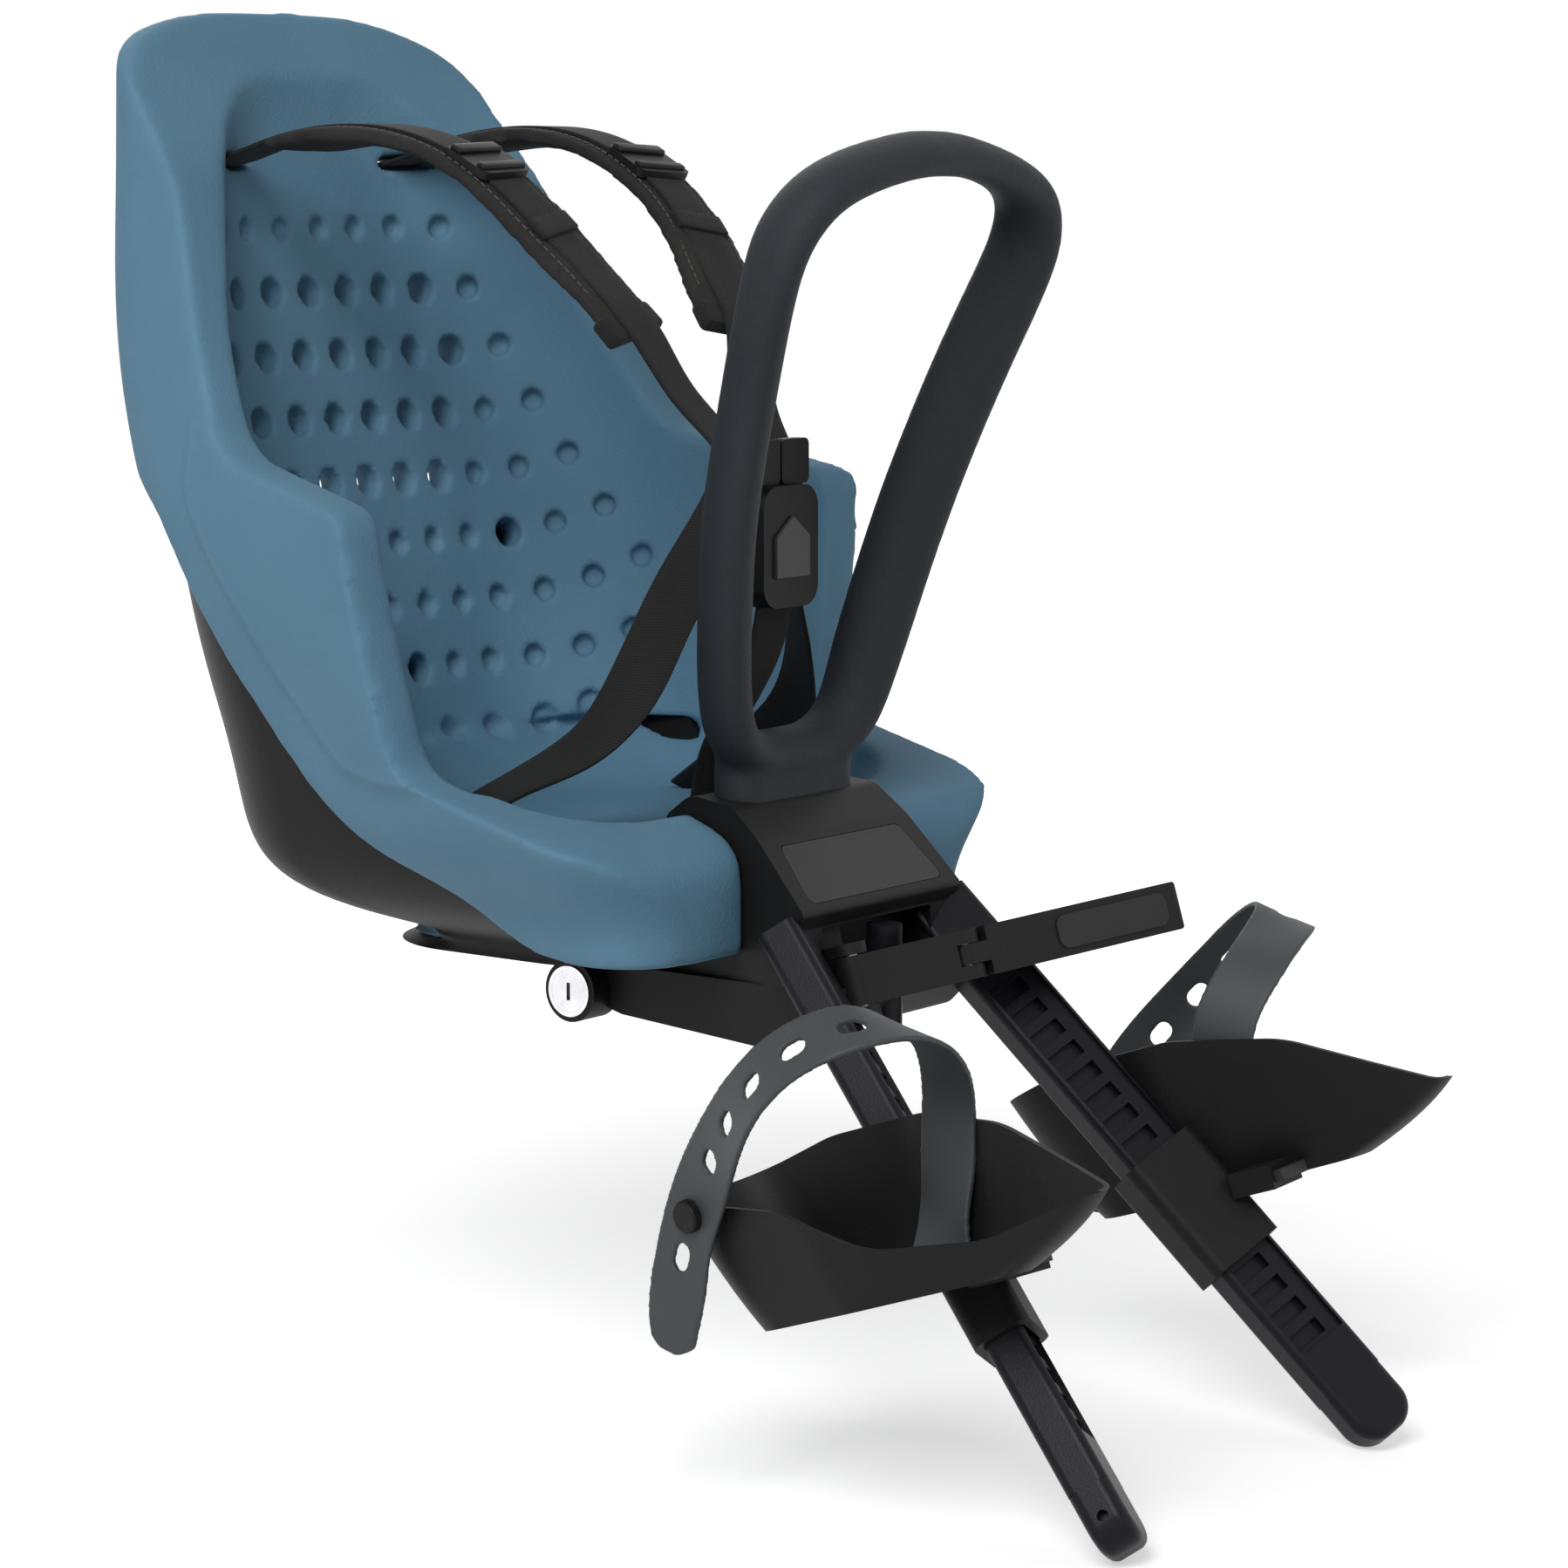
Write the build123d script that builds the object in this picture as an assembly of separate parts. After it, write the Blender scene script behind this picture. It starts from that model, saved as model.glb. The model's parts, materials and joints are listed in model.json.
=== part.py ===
from build123d import *
import os
from math import atan2, cos, hypot, radians, sin

os.makedirs("parts", exist_ok=True)

# Child seat that hangs on a bracket at a bicycle's handlebar.
# Millimetres, +Z up. The child faces -Y, and +X is the child's left.
# The origin is on the mount post, on the floor of the bracket pocket.

# Foam bucket: the outer form by height, as rear face, half width at the rear and at the front
FOAM_SIDE = 24.0
FOAM_BACK = 25.0
SEAT_FRONT = 36.0
SEAT_TOP = 426.0
BUCKET = (
    (8, 205, 100, 132, 58),
    (56, 274, 126, 156, 58),
    (104, 304, 136, 185, 58),
    (152, 315, 143, 200, 58),
    (200, 326, 147, 209, 55),
    (248, 339, 142, 207, 44),
    (296, 352, 133, 182, 38),
    (344, 360, 125, 152, 36),
    (392, 363, 121, 142, 36),
    (440, 363, 119, 140, 36),
)
BUCKET_FRONT_ROUND = 32.0
CAVITY_ROUND = 80.0
BOWL = ((57, 104, 214, 88), (61, 86, 238, 108), (70, 72, 255, 121), (86, 60, 270, 130))
BOWL_ROUND = 46.0
CAVITY_FLOOR = 84.0
RIM_LINE = (
    (385, 470), (341, 400), (300, 345), (272, 285), (238, 227), (150, 207), (141, 92), (70, 72),
    (SEAT_FRONT, 60), (SEAT_FRONT, 12),
)
RIM_ROUNDS = (60, 90, 150, 40, 14, 16, 60, 22)
TRAY_LINE = ((SEAT_FRONT, 12), (112, 12), (190, 62), (258, 142), (296, 206), (460, 260))
TRAY_LINE_ROUNDS = (90, 180, 260, 60)
CROWN = ((0, SEAT_TOP), (60, 423), (94, 414), (119, 396), (130, 366), (133, 330))
HEAD_LIP = 18.0

# Holes in the backrest, in staggered rows that run round its curve and rise past a distance from the middle
HOLE_TOP = 324.0
HOLE_PITCH = 25.5
HOLE_ROW_STEP = 29.8
HOLE_SPANS = (95, 108, 124, 137, 150, 165, 158, 148, 112)
HOLE_LEVEL = 75.0
HOLE_RISE = 0.003
VENT_RADIUS = 7.3
VENT_SPANS = {1: 65, 2: 78, 3: 65, 4: 53}
DEEP_HOLES = ((5, 3), (7, 0))
DIMPLE_RADIUS = 5.5
DIMPLE_DEPTH = 6.0
BACK_RECLINE = 12.0

# Support tray under the foam, by height: front, rear, half width
TRAY_WALL = 4.0
TRAY = (
    (0, 84, 248, 74), (30, 52, 283, 112), (60, 44, 296, 127), (90, 40, 299, 133), (120, 40, 305, 138),
    (150, 40, 311, 142), (180, 40, 317, 144), (210, 40, 322, 145), (240, 40, 327, 145),
)
TRAY_ROUND = 54.0
TRAY_VENT_WIDTH = 150.0
TRAY_VENT_SILL = 160.0

# Front block and lower housing
POMMEL_PROFILE = ((4, 0), (4, 26), (0, 33), (28, 63), (44, 76), (70, 79), (86, 68), (92, 48), (92, 0))
POMMEL_ROUNDS = (3, 3, 14, 10, 14, 14, 10)
POMMEL_FRONT_HALF = 60.0
POMMEL_REAR_HALF = 46.0
POCKET_HALF = 41.0
POCKET_DEPTH = 20.0
POCKET_HEIGHT = 25.0
PANEL_LENGTH = 31.0
PANEL_FRONT = 100.0
PANEL_REAR = 88.0
PANEL_THICK = 3.0
PANEL_GAP = 0.3
BASE_PROFILE = ((-10, 0), (-10, -8), (4, -22), (26, -28), (104, -22), (142, -12), (142, 0))
BASE_ROUNDS = (3, 10, 12, 12, 10)
BASE_HALF = 56.0
LOCK_Y = 124.0
LOCK_Z = -12.0
LOCK_BOSS_RADIUS = 14.0
LOCK_FACE = 68.0
LOCK_PROUD = 1.0
LOCK_RADIUS = 9.5
LOCK_DEPTH = 18.0
LOCK_CLEAR = 0.05
COLLAR_WALL = 2.0
KEY_SLOT = (2.0, 8.0, 6.0)
POST_RADIUS = 8.0
POST_HEIGHT = 22.0
POST_FLANGE = 10.0
FLANGE_THICK = 3.0
POST_SHANK = 26.0
POST_BORE = 5.0
SCREW_RADIUS = 3.5
SCREW_PROUD = 2.0
SCREW_LENGTH = 9.0
BASE_SCREW_PLACES = ((-40, 50), (40, 50), (-40, 96), (40, 96))

# Grab loop, its right half from the bottom to the top:
# place, half thickness in the loop's plane, half depth across it and the turn of the oval
LOOP = (
    ((0, 56, 94), 10.5, 14.0, 0), ((10, 56, 94.2), 10.5, 14.0, 1), ((24, 55.5, 96), 10.5, 14.0, 4),
    ((41, 53, 106), 10.8, 15.0, 14),
    ((50, 50, 125), 11.0, 16.0, 24), ((59.6, 42.5, 163), 11.2, 16.8, 30), ((68.6, 33, 202), 11.2, 17.0, 30),
    ((76.3, 20.5, 240), 11.0, 17.0, 30), ((84.2, 6.5, 277), 10.8, 17.0, 28), ((90, -5, 305), 10.5, 16.8, 24),
    ((90, -12, 322), 10.2, 16.5, 18), ((80, -18.5, 338), 9.8, 16.0, 12), ((58, -22.5, 349), 9.4, 15.5, 6),
    ((30, -25, 355.5), 9.0, 15.0, 2), ((10, -25.9, 357.8), 9.0, 15.0, 0), ((0, -26, 358), 9.0, 15.0, 0),
)
LOOP_FRONT = Vector(0, -1, -0.35)
FOOT_WIDTH = 84.0
FOOT_DEPTH = 24.0
FOOT_BOTTOM = 52.0
FOOT_ROUND = 11.0

# Footrest rails: centre line of the right one from the block to its tip
RAIL_TOP = Vector(-53.5, 22.5, 32)
RAIL_TIP = Vector(-107, -198.5, -200)
RAIL_WIDTH = 32.0
RAIL_THICK = 18.5
RAIL_EDGE = 4.0
RAIL_FACE_TURN = 60.0
RAIL_START = 14.0
CHANNEL_RIM = 3.0
CHANNEL_DEPTH = 2.0
RACK_WIDTH = 17.0
RACK_SIDE = 3.0
RACK_DEPTH = 5.5
RACK_PITCH = 12.5
RACK_SLOT = 7.5
RACK_START = 62.0
RACK_SLOTS = 17
CAP_LENGTH = 28.0
CAP_ROUND = 13.0
CAP_EDGE = 5.0
CAP_HOLE = 2.5
CAP_HOLE_DEPTH = 5.0

# Foot cup of the right side, drawn in its own frame: x outward, y to the toe, z up
CUP_CENTRE = Vector(-132, -98, -107)
CUP_TOE_UP = 19.0
CUP_TOE_OUT = 5.0
CUP_LEVELS = (
    (0, ((-38, 25), (0, 28), (60, 14))),
    (25, ((-48, 29), (-2, 34), (112, 12))),
    (76, ((-64, 34), (-5, 39), (120, 12))),
)
CUP_WALL = 3.0
CUP_OUTER_LINE = ((-120, 62), (-70, 59), (-14, 46), (20, 23), (72, 16), (122, 24), (145, 24))
CUP_INNER_LINE = ((-120, 62), (-92, 62), (-40, 72), (10, 72), (60, 60), (122, 24), (145, 24))
CUP_LINE_ROUNDS = (30, 60, 40, 60, 10)
SLEEVE_LENGTH = 60.0
SLEEVE_WALL = 4.0
SLEEVE_ROUND = 6.0
RAIL_CLEAR = 0.4
LATCH_PLACE = Vector(-33, 44, 3)
LATCH_SIZE = (22.0, 20.0, 5.0)
LATCH_TRAVEL = 4.0
LATCH_CLEAR = 0.3
LATCH_PROUD = 6.0
GUIDE_WALL = 3.0

# Rubber foot strap in the cup's frame: place on the strap and the way that its outer face looks
FOOT_STRAP = (
    ((37, -94, 1), (1, 0, 0)), ((37.5, -84, 18), (1, 0, 0)), ((38, -72, 38), (1, 0, 0)),
    ((38.5, -60, 54), (1, 0, 0)), ((45, -36, 73), (1, 0, 0.1)), ((52, -15, 86), (1, 0, 0.3)),
    ((55, 6, 98), (0.9, 0.1, 0.5)), ((50, 28, 107.5), (0.75, 0.35, 0.7)),
    ((35, 48, 110.5), (0.45, 0.5, 0.8)),
    ((14, 54, 106), (-0.05, 0.5, 0.9)), ((-6, 51, 96.5), (-0.5, 0.45, 0.75)),
    ((-21, 41, 82), (-0.85, 0.3, 0.45)),
    ((-26, 31, 62), (-1, 0.1, 0.15)), ((-24, 24, 40), (-1, 0.1, 0)), ((-19, 19, 19), (-1, 0, 0)),
    ((-14, 17, 3.5), (-1, 0, 0)),
)
STRAP_WIDTH = 29.0
STRAP_THICK = 2.6
STRAP_HOLES = (2, 3, 4, 5, 6, 7, 8)
STRAP_HOLE = (8.0, 12.0)
STUD_STATION = 3
STUD_RADIUS = 3.7
STUD_HEAD = 7.0
STUD_HEAD_THICK = 4.0
STUD_GAP = 0.4

# Clamp gate and lever across the front of the pocket
GATE_START = Vector(-34, -9.5, 2.2)
GATE_END = Vector(130, -70, 20)
GATE_AXIS_LEAN = 17.0
GATE_LENGTH = 58.0
GATE_HEIGHT = 22.0
GATE_THICK = 15.0
EAR_THICK = 5.0
EAR_REACH = 20.0
EAR_WEB = 8.0
EAR_WEB_HEIGHT = 20.0
LEVER_TIP_HALF = 5.0
LEVER_ROUND = 4.0
KNUCKLE_HEIGHT = 9.0
KNUCKLE_GAP = 0.3
PIN_RADIUS = 3.0
PIN_CLEAR = 0.05
PART_GAP = 0.6
GRIP_START = 46.0
GRIP_END = 108.0
GRIP_HEIGHT = 15.0
GRIP_SINK = 1.5
GRIP_PROUD = 1.0
GRIP_ROUND = 5.0

# Harness: webbing, pads and the buckle
WEB_WIDTH = 25.0
WEB_THICK = 1.8
PAD_WIDTH = 42.0
PAD_THICK = 6.0
PAD_LINE = (
    ((-61, 290, 362), (0, -0.1, 1)), ((-61, 258, 366.5), (0, 0, 1)), ((-60, 221, 365), (0, -0.3, 1)),
    ((-57, 180, 350), (0, -0.6, 0.9)), ((-54, 153, 329), (0, -0.7, 0.7)),
    ((-45, 128, 302), (0.1, -0.8, 0.5)),
    ((-37, 108, 278), (0.1, -0.9, 0.4)),
)
WEB_LIFT = 0.3
STRAP_BACK = ((-61, 360, 352), (0, -0.1, 1))
STRAP_ENTRY = ((-61, 336, 354.4), (0, -0.1, 1))
STRAP_FALL = (((-24.5, 92, 252), (0.2, -0.9, 0.4)), ((-15.5, 76, 231), (0.2, -0.9, 0.4)),
              ((-13.4, 66, 216), (0.2, -0.9, 0.4)))
LAP_LINE = (
    ((-15, 66, 218), (-0.5, -0.8, 0.3)), ((-28, 72, 194), (-0.6, -0.7, 0.4)),
    ((-40, 81, 170), (-0.6, -0.7, 0.4)),
    ((-52, 87, 146), (-0.6, -0.6, 0.5)), ((-63, 94, 122), (-0.6, -0.5, 0.6)),
    ((-74, 107, 102), (-0.5, -0.4, 0.8)),
    ((-84, 132, 86), (-0.4, -0.3, 0.9)), ((-92, 159, 70), (-0.4, -0.3, 0.9)),
    ((-100, 186, 54), (-0.4, -0.3, 0.9)),
)
CROTCH_LINE = (
    ((0, 60, 166), (0, -1, 0)), ((0, 66, 140), (0, -1, 0.1)), ((0, 82, 112), (0, -1, 0.2)),
    ((0, 95, 87), (0, -1, 0.1)), ((0, 99, 67), (0, -1, 0.1)), ((0, 103, 47), (0, -1, 0.1)),
)
SLOT_CLEAR = 2.6
CROTCH_SLOT_CLEAR = 0.6
SLOT_REACH = 56.0
ADJUSTER_STATION = 3
ADJUSTER_SIZE = (34.0, 26.0, 4.0)
ADJUSTER_BAR = 4.0
BUCKLE_CENTRE = Vector(0, 60, 186)
BUCKLE_WIDTH = 40.0
BUCKLE_HEIGHT = 54.0
BUCKLE_THICK = 17.0
BUTTON_WIDTH = 24.0
BUTTON_HEIGHT = 27.0
BUTTON_THICK = 7.0
BUTTON_PROUD = 1.5
BUTTON_TRAVEL = 3.0
BUTTON_GAP = 0.4
BUCKLE_EDGE = 5.0
TONGUE_PLATE = (20.0, 6.0, 20.0)
TONGUE_BLADE = (15.0, 3.0, 14.0)
TONGUE_SPREAD = 10.6
TONGUE_CLEAR = 0.2


def plan_section(height, front, rear, half_front, half_rear, round_front, round_rear):
    """Plan outline at one height, rounded at its four corners."""
    corners = ((-half_rear, rear), (half_rear, rear), (half_front, front), (-half_front, front))
    face = make_face(Polyline(*corners, close=True))
    face = fillet(face.vertices().group_by(Axis.Y)[-1], round_rear)
    face = fillet(face.vertices().group_by(Axis.Y)[0], round_front)
    return Pos(0, 0, height) * face


def side_prism(lines, half_width):
    """Solid across the seat from an outline of the side view."""
    return extrude(Plane.YZ * make_face(lines), half_width, both=True)


def across(direction, along):
    """The direction with its share along another one taken out."""
    return (direction - along * direction.dot(along)).normalized()


def band(stations, width, thickness):
    """Soft strip through stations of a place and the way that its outer face looks."""
    places = [Vector(*place) for place, _ in stations]
    rows = []
    for index, (_, look) in enumerate(stations):
        before = places[max(index - 1, 0)]
        after = places[min(index + 1, len(places) - 1)]
        along = (after - before).normalized()
        side = across(Vector(*look), along).cross(along) * (width / 2)
        rows.append([places[index] - side, places[index], places[index] + side])
    return thicken(Face.make_surface_from_array_of_points(rows), thickness / 2, both=True)


def mirrored(solid):
    """The same piece on the child's left."""
    return mirror(solid, about=Plane.YZ)


def rail_frame():
    """Plane on the right rail's top: z runs down the rail and y looks out of the toothed face."""
    down = (RAIL_TIP - RAIL_TOP).normalized()
    turn = radians(RAIL_FACE_TURN)
    forward_up = across(Vector(0, -1, 1), down)
    face_way = across(Vector(cos(turn), 0, 0) + forward_up * sin(turn), down)
    return Plane(origin=RAIL_TOP, x_dir=face_way.cross(down), z_dir=down)


def cup_frame():
    """Plane on the right cup's floor: x outward, y to the toe, z up from the sole."""
    up = radians(CUP_TOE_UP)
    out = radians(CUP_TOE_OUT)
    toe = Vector(-sin(out) * cos(up), -cos(out) * cos(up), sin(up))
    sole_up = across(Vector(0, 0, 1), toe)
    return Plane(origin=CUP_CENTRE, x_dir=toe.cross(sole_up), z_dir=sole_up)


def gate_frame():
    """Plane on the gate's hinge: x runs along the gate and z is the hinge axis."""
    lean = radians(GATE_AXIS_LEAN)
    along = (GATE_END - GATE_START).normalized()
    axis = across(Vector(0, sin(lean), cos(lean)), along)
    return Plane(origin=GATE_START, x_dir=along, z_dir=axis)


RAIL_LENGTH = (RAIL_TIP - RAIL_TOP).length
LEVER_LENGTH = (GATE_END - GATE_START).length - GATE_LENGTH
RAIL = rail_frame()
CUP = cup_frame()
GATE = gate_frame()


def foam_regions():
    """Solids across the seat above and below the line where the foam meets the tray."""
    rim = FilletPolyline(*RIM_LINE, radius=RIM_ROUNDS)
    tray_line = FilletPolyline(*TRAY_LINE, radius=TRAY_LINE_ROUNDS)
    low, high = TRAY_LINE[0], TRAY_LINE[-1]
    above = Polyline(high, (high[0], RIM_LINE[0][1]), RIM_LINE[0])
    below = Polyline(high, (high[0], -60), (-60, -60), (-60, low[1]), low)
    return side_prism([rim, tray_line, above], 300), side_prism([tray_line, below], 300)


def bucket_outer():
    """Outer form of the foam before its rim is cut."""
    sections = []
    for height, rear, half_rear, half_front, corner in BUCKET:
        section = plan_section(height, SEAT_FRONT, rear, half_front, half_rear, BUCKET_FRONT_ROUND, corner)
        sections.append(section)
    return loft(sections)


def cavity_plan(rear, half_rear, half_front):
    """Rear face, half width there and flare of the cavity, from the outer form at one height."""
    spread = (half_front - half_rear) / (rear - SEAT_FRONT)
    return rear - FOAM_BACK, half_rear - FOAM_SIDE + spread * FOAM_BACK, spread


def bucket_cavity():
    """Space that the child sits in: an open upper part over a shallow bowl."""
    open_front = -SEAT_FRONT
    sections = []
    for height, rear, half_rear, half_front, _ in BUCKET[1:]:
        inner, half, spread = cavity_plan(rear, half_rear, half_front)
        wide = half + spread * (inner - open_front)
        sections.append(plan_section(height, open_front, inner, wide, half, FOAM_SIDE, CAVITY_ROUND))
    headroom = Pos(0, 0, CAVITY_FLOOR) * Box(900, 1200, 500, align=(Align.CENTER, Align.CENTER, Align.MIN))
    head = extrude(Plane.XZ * crown_face(HEAD_LIP), -500)
    upper = loft(sections) & headroom & head
    bowl = loft([plan_section(height, front, rear, half, half, BOWL_ROUND, BOWL_ROUND)
                 for height, front, rear, half in BOWL])
    return upper, bowl


def crown_face(inset):
    """Front view of the backrest's rounded top, moved in by the inset."""
    right = [(x * (1 - inset / CROWN[-1][0]), z - inset) for x, z in CROWN]
    left = [(-x, z) for x, z in reversed(right[1:])]
    top = Spline(*left, *right, tangents=[(0, 1), (0, -1)])
    x_end, z_end = right[-1]
    wide = x_end + 150
    sides = Polyline((x_end, z_end), (wide, z_end - 90), (wide, -60), (-wide, -60), (-wide, z_end - 90),
                     (-x_end, z_end))
    return make_face([top, sides])


def back_plane(height, run):
    """Plane on the cavity's back at a distance round its curve from the middle, with z into the foam."""
    lower, upper = next(pair for pair in zip(BUCKET, BUCKET[1:]) if pair[0][0] <= height <= pair[1][0])
    share = (height - lower[0]) / (upper[0] - lower[0])
    rear, half_rear, half_front = [a + share * (b - a) for a, b in zip(lower[1:4], upper[1:4])]
    inner, half, spread = cavity_plan(rear, half_rear, half_front)
    bend_start = half + CAVITY_ROUND * (spread - hypot(1, spread))
    bend_end = atan2(1, spread)
    turn = min(max((run - bend_start) / CAVITY_ROUND, 0), bend_end)
    past = max(run - bend_start - CAVITY_ROUND * bend_end, 0)
    x = min(run, bend_start) + CAVITY_ROUND * sin(turn) + past * cos(turn)
    y = inner - CAVITY_ROUND * (1 - cos(turn)) - past * sin(turn)
    lean = radians(BACK_RECLINE)
    return Plane(origin=(x, y, height), z_dir=(sin(turn), cos(turn) * cos(lean), -sin(lean)))


def back_holes():
    """Cutters for the vents that go through the back and for the blind dimples round them."""
    cutters = []
    for row, span in enumerate(HOLE_SPANS):
        first = HOLE_PITCH / 2 if row % 2 else 0
        for column in range(int((span - first) // HOLE_PITCH) + 1):
            run = first + HOLE_PITCH * column
            height = HOLE_TOP - row * HOLE_ROW_STEP + HOLE_RISE * max(run - HOLE_LEVEL, 0) ** 2
            vent = run <= VENT_SPANS.get(row, -1) or (row, column) in DEEP_HOLES
            radius = VENT_RADIUS if vent else DIMPLE_RADIUS
            depth = 3 * FOAM_BACK if vent else DIMPLE_DEPTH
            cutter = back_plane(height, run) * Cylinder(radius, 2 * depth)
            cutters.append(cutter)
            if run > 0:
                cutters.append(mirrored(cutter))
    return cutters


def tray_hull(inset):
    """Form of the tray, moved in by the inset."""
    sections = []
    for height, front, rear, half in TRAY:
        lift = inset if height == TRAY[0][0] else 0
        sections.append(plan_section(height + lift, front + inset, rear - inset, half - inset, half - inset,
                                     TRAY_ROUND - inset, TRAY_ROUND - inset))
    return loft(sections)


def make_shell(above, below, hull_inside):
    """Foam bucket with its rim line, rounded head and pierced back, filling the tray."""
    bucket = bucket_outer() & above & extrude(Plane.XZ * crown_face(0), -500)
    upper, bowl = bucket_cavity()
    return bucket + (hull_inside & below) - upper - bowl - back_holes()


def make_tray(below, hull_inside):
    """Thin hull under the foam, open behind the vents."""
    vent = Pos(0, TRAY[-1][2], TRAY_VENT_SILL) * Box(TRAY_VENT_WIDTH, 120, 200,
                                                     align=(Align.CENTER, Align.CENTER, Align.MIN))
    return (tray_hull(0) - hull_inside) & below - vent


def pommel_body():
    """Front block without its pocket, narrower at the back than at the front."""
    profile = FilletPolyline(*POMMEL_PROFILE, radius=POMMEL_ROUNDS)
    side = side_prism([profile, Line(POMMEL_PROFILE[-1], POMMEL_PROFILE[0])], 100)
    front, rear = POMMEL_PROFILE[2][0] - 5, POMMEL_PROFILE[-1][0] + 1
    plan = plan_section(0, front, rear, POMMEL_FRONT_HALF, POMMEL_REAR_HALF, 4, 12)
    return side & extrude(plan, 120)


def panel_solid(clearance):
    """Inset cover on the block's sloping face."""
    (y0, z0), (y1, z1) = POMMEL_PROFILE[2], POMMEL_PROFILE[3]
    slope = Vector(0, y1 - y0, z1 - z0).normalized()
    normal = Vector(1, 0, 0).cross(slope)
    plane = Plane(origin=(0, (y0 + y1) / 2, (z0 + z1) / 2), x_dir=(1, 0, 0), z_dir=normal)
    half = PANEL_LENGTH / 2 + clearance
    outline = make_face(Polyline((-PANEL_FRONT / 2 - clearance, -half), (PANEL_FRONT / 2 + clearance, -half),
                                 (PANEL_REAR / 2 + clearance, half),
                                 (-PANEL_REAR / 2 - clearance, half), close=True))
    outline = fillet(outline.vertices(), 4)
    return plane * extrude(outline, -PANEL_THICK)


def make_loop():
    """Grab loop with an oval tube that turns along its sides, and the foot that stands in the block."""
    places = [Vector(*place) for place, _, _, _ in LOOP]
    sections = []
    for index, (_, half_thick, half_deep, turn) in enumerate(LOOP):
        along = (places[min(index + 1, len(places) - 1)] - places[max(index - 1, 0)]).normalized()
        if index in (0, len(LOOP) - 1):
            along = Vector(1 if index == 0 else -1, 0, 0)
        front = across(LOOP_FRONT, along)
        outward = along.cross(front)
        deep_way = front * cos(radians(turn)) + outward * sin(radians(turn))
        plane = Plane(origin=places[index], x_dir=deep_way, z_dir=along)
        sections.append(plane * Ellipse(half_deep, half_thick))
    half = loft(sections)
    return half + mirrored(half) + loop_foot()


def loop_foot():
    """Foot of the grab loop, from inside the block up into the tube."""
    _, middle, top = LOOP[0][0]
    outline = RectangleRounded(FOOT_WIDTH, FOOT_DEPTH, FOOT_ROUND)
    return Pos(0, middle, FOOT_BOTTOM) * extrude(outline, top - FOOT_BOTTOM)


def rail_prism(clearance, start, end):
    """Room that the right rail takes between two places along it."""
    outline = RectangleRounded(RAIL_WIDTH + 2 * clearance, RAIL_THICK + 2 * clearance, RAIL_EDGE + clearance)
    return RAIL * Pos(0, 0, start) * extrude(outline, end - start)


def make_rail():
    """Right rail with a sunk face and its rack of slots."""
    blade_end = RAIL_LENGTH - CAP_LENGTH
    rack_end = RACK_START + RACK_PITCH * RACK_SLOTS
    channel = Pos(0, RAIL_THICK / 2, (RACK_START + rack_end) / 2) * Box(
        RAIL_WIDTH - 2 * CHANNEL_RIM, 2 * CHANNEL_DEPTH, rack_end - RACK_START)
    slots = [Pos(RACK_SIDE, RAIL_THICK / 2, RACK_START + RACK_PITCH * (index + 0.5))
             * Box(RACK_WIDTH, 2 * RACK_DEPTH, RACK_SLOT) for index in range(RACK_SLOTS)]
    return rail_prism(0, RAIL_START, blade_end) - RAIL * (channel + slots)


def make_cap():
    """Rounded end cap of the right rail, with a screw hole in its outer edge."""
    half = RAIL_WIDTH / 2
    outline = make_face(Polyline((-half, 0), (half, 0), (half, CAP_LENGTH), (-half, CAP_LENGTH), close=True))
    outline = fillet(outline.vertices().group_by(Axis.Y)[-1], CAP_ROUND)
    cap = Plane.XZ * Pos(0, 0, -RAIL_THICK / 2) * extrude(outline, RAIL_THICK)
    rims = cap.edges().filter_by(lambda edge: abs(edge.center().Z) > 0.1)
    flat = [edge for edge in rims if abs(abs(edge.center().Y) - RAIL_THICK / 2) < 0.1]
    cap = fillet(flat, CAP_EDGE)
    hole = Pos(-half, 0, CAP_LENGTH / 2) * Rot(0, 90, 0) * Cylinder(CAP_HOLE, 2 * CAP_HOLE_DEPTH)
    return RAIL * Pos(0, 0, RAIL_LENGTH - CAP_LENGTH) * (cap - hole)


def cup_tub(inset):
    """Spoon form of the foot cup, moved in by the inset: round heel, full middle and narrow toe."""
    sections = []
    for level, (height, circles) in enumerate(CUP_LEVELS):
        edges = [edge for y, radius in circles for edge in (Pos(0, y) * Circle(radius - inset)).edges()]
        lift = inset if level == 0 else 0
        sections.append(Pos(0, 0, height + lift) * make_hull(edges))
    return loft(sections)


def cup_cutter(line, start, end):
    """Room above a rim line, over part of the cup's width."""
    low = FilletPolyline(*line, radius=CUP_LINE_ROUNDS)
    (y0, _), (y1, _) = line[0], line[-1]
    top = CUP_LEVELS[-1][0] + 1
    face = make_face([low, Polyline(line[-1], (y1, top), (y0, top), line[0])])
    return Pos(start, 0, 0) * extrude(Plane.YZ * face, end - start)


def latch_box(clearance, start, end):
    """Room of the latch in the cup's frame, from one place to another toward the toe."""
    width, _, thick = LATCH_SIZE
    middle = Pos(LATCH_PLACE.X, (start + end) / 2, LATCH_PLACE.Z)
    return middle * Box(width + 2 * clearance, end - start, thick + 2 * clearance)


def make_latch():
    """Tab that is pressed toward the heel to free the footrest."""
    half = LATCH_SIZE[1] / 2
    tab = latch_box(0, LATCH_PLACE.Y - half, LATCH_PLACE.Y + half)
    return CUP * fillet(tab.edges().filter_by(Axis.Z), LATCH_SIZE[2] / 2)


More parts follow.
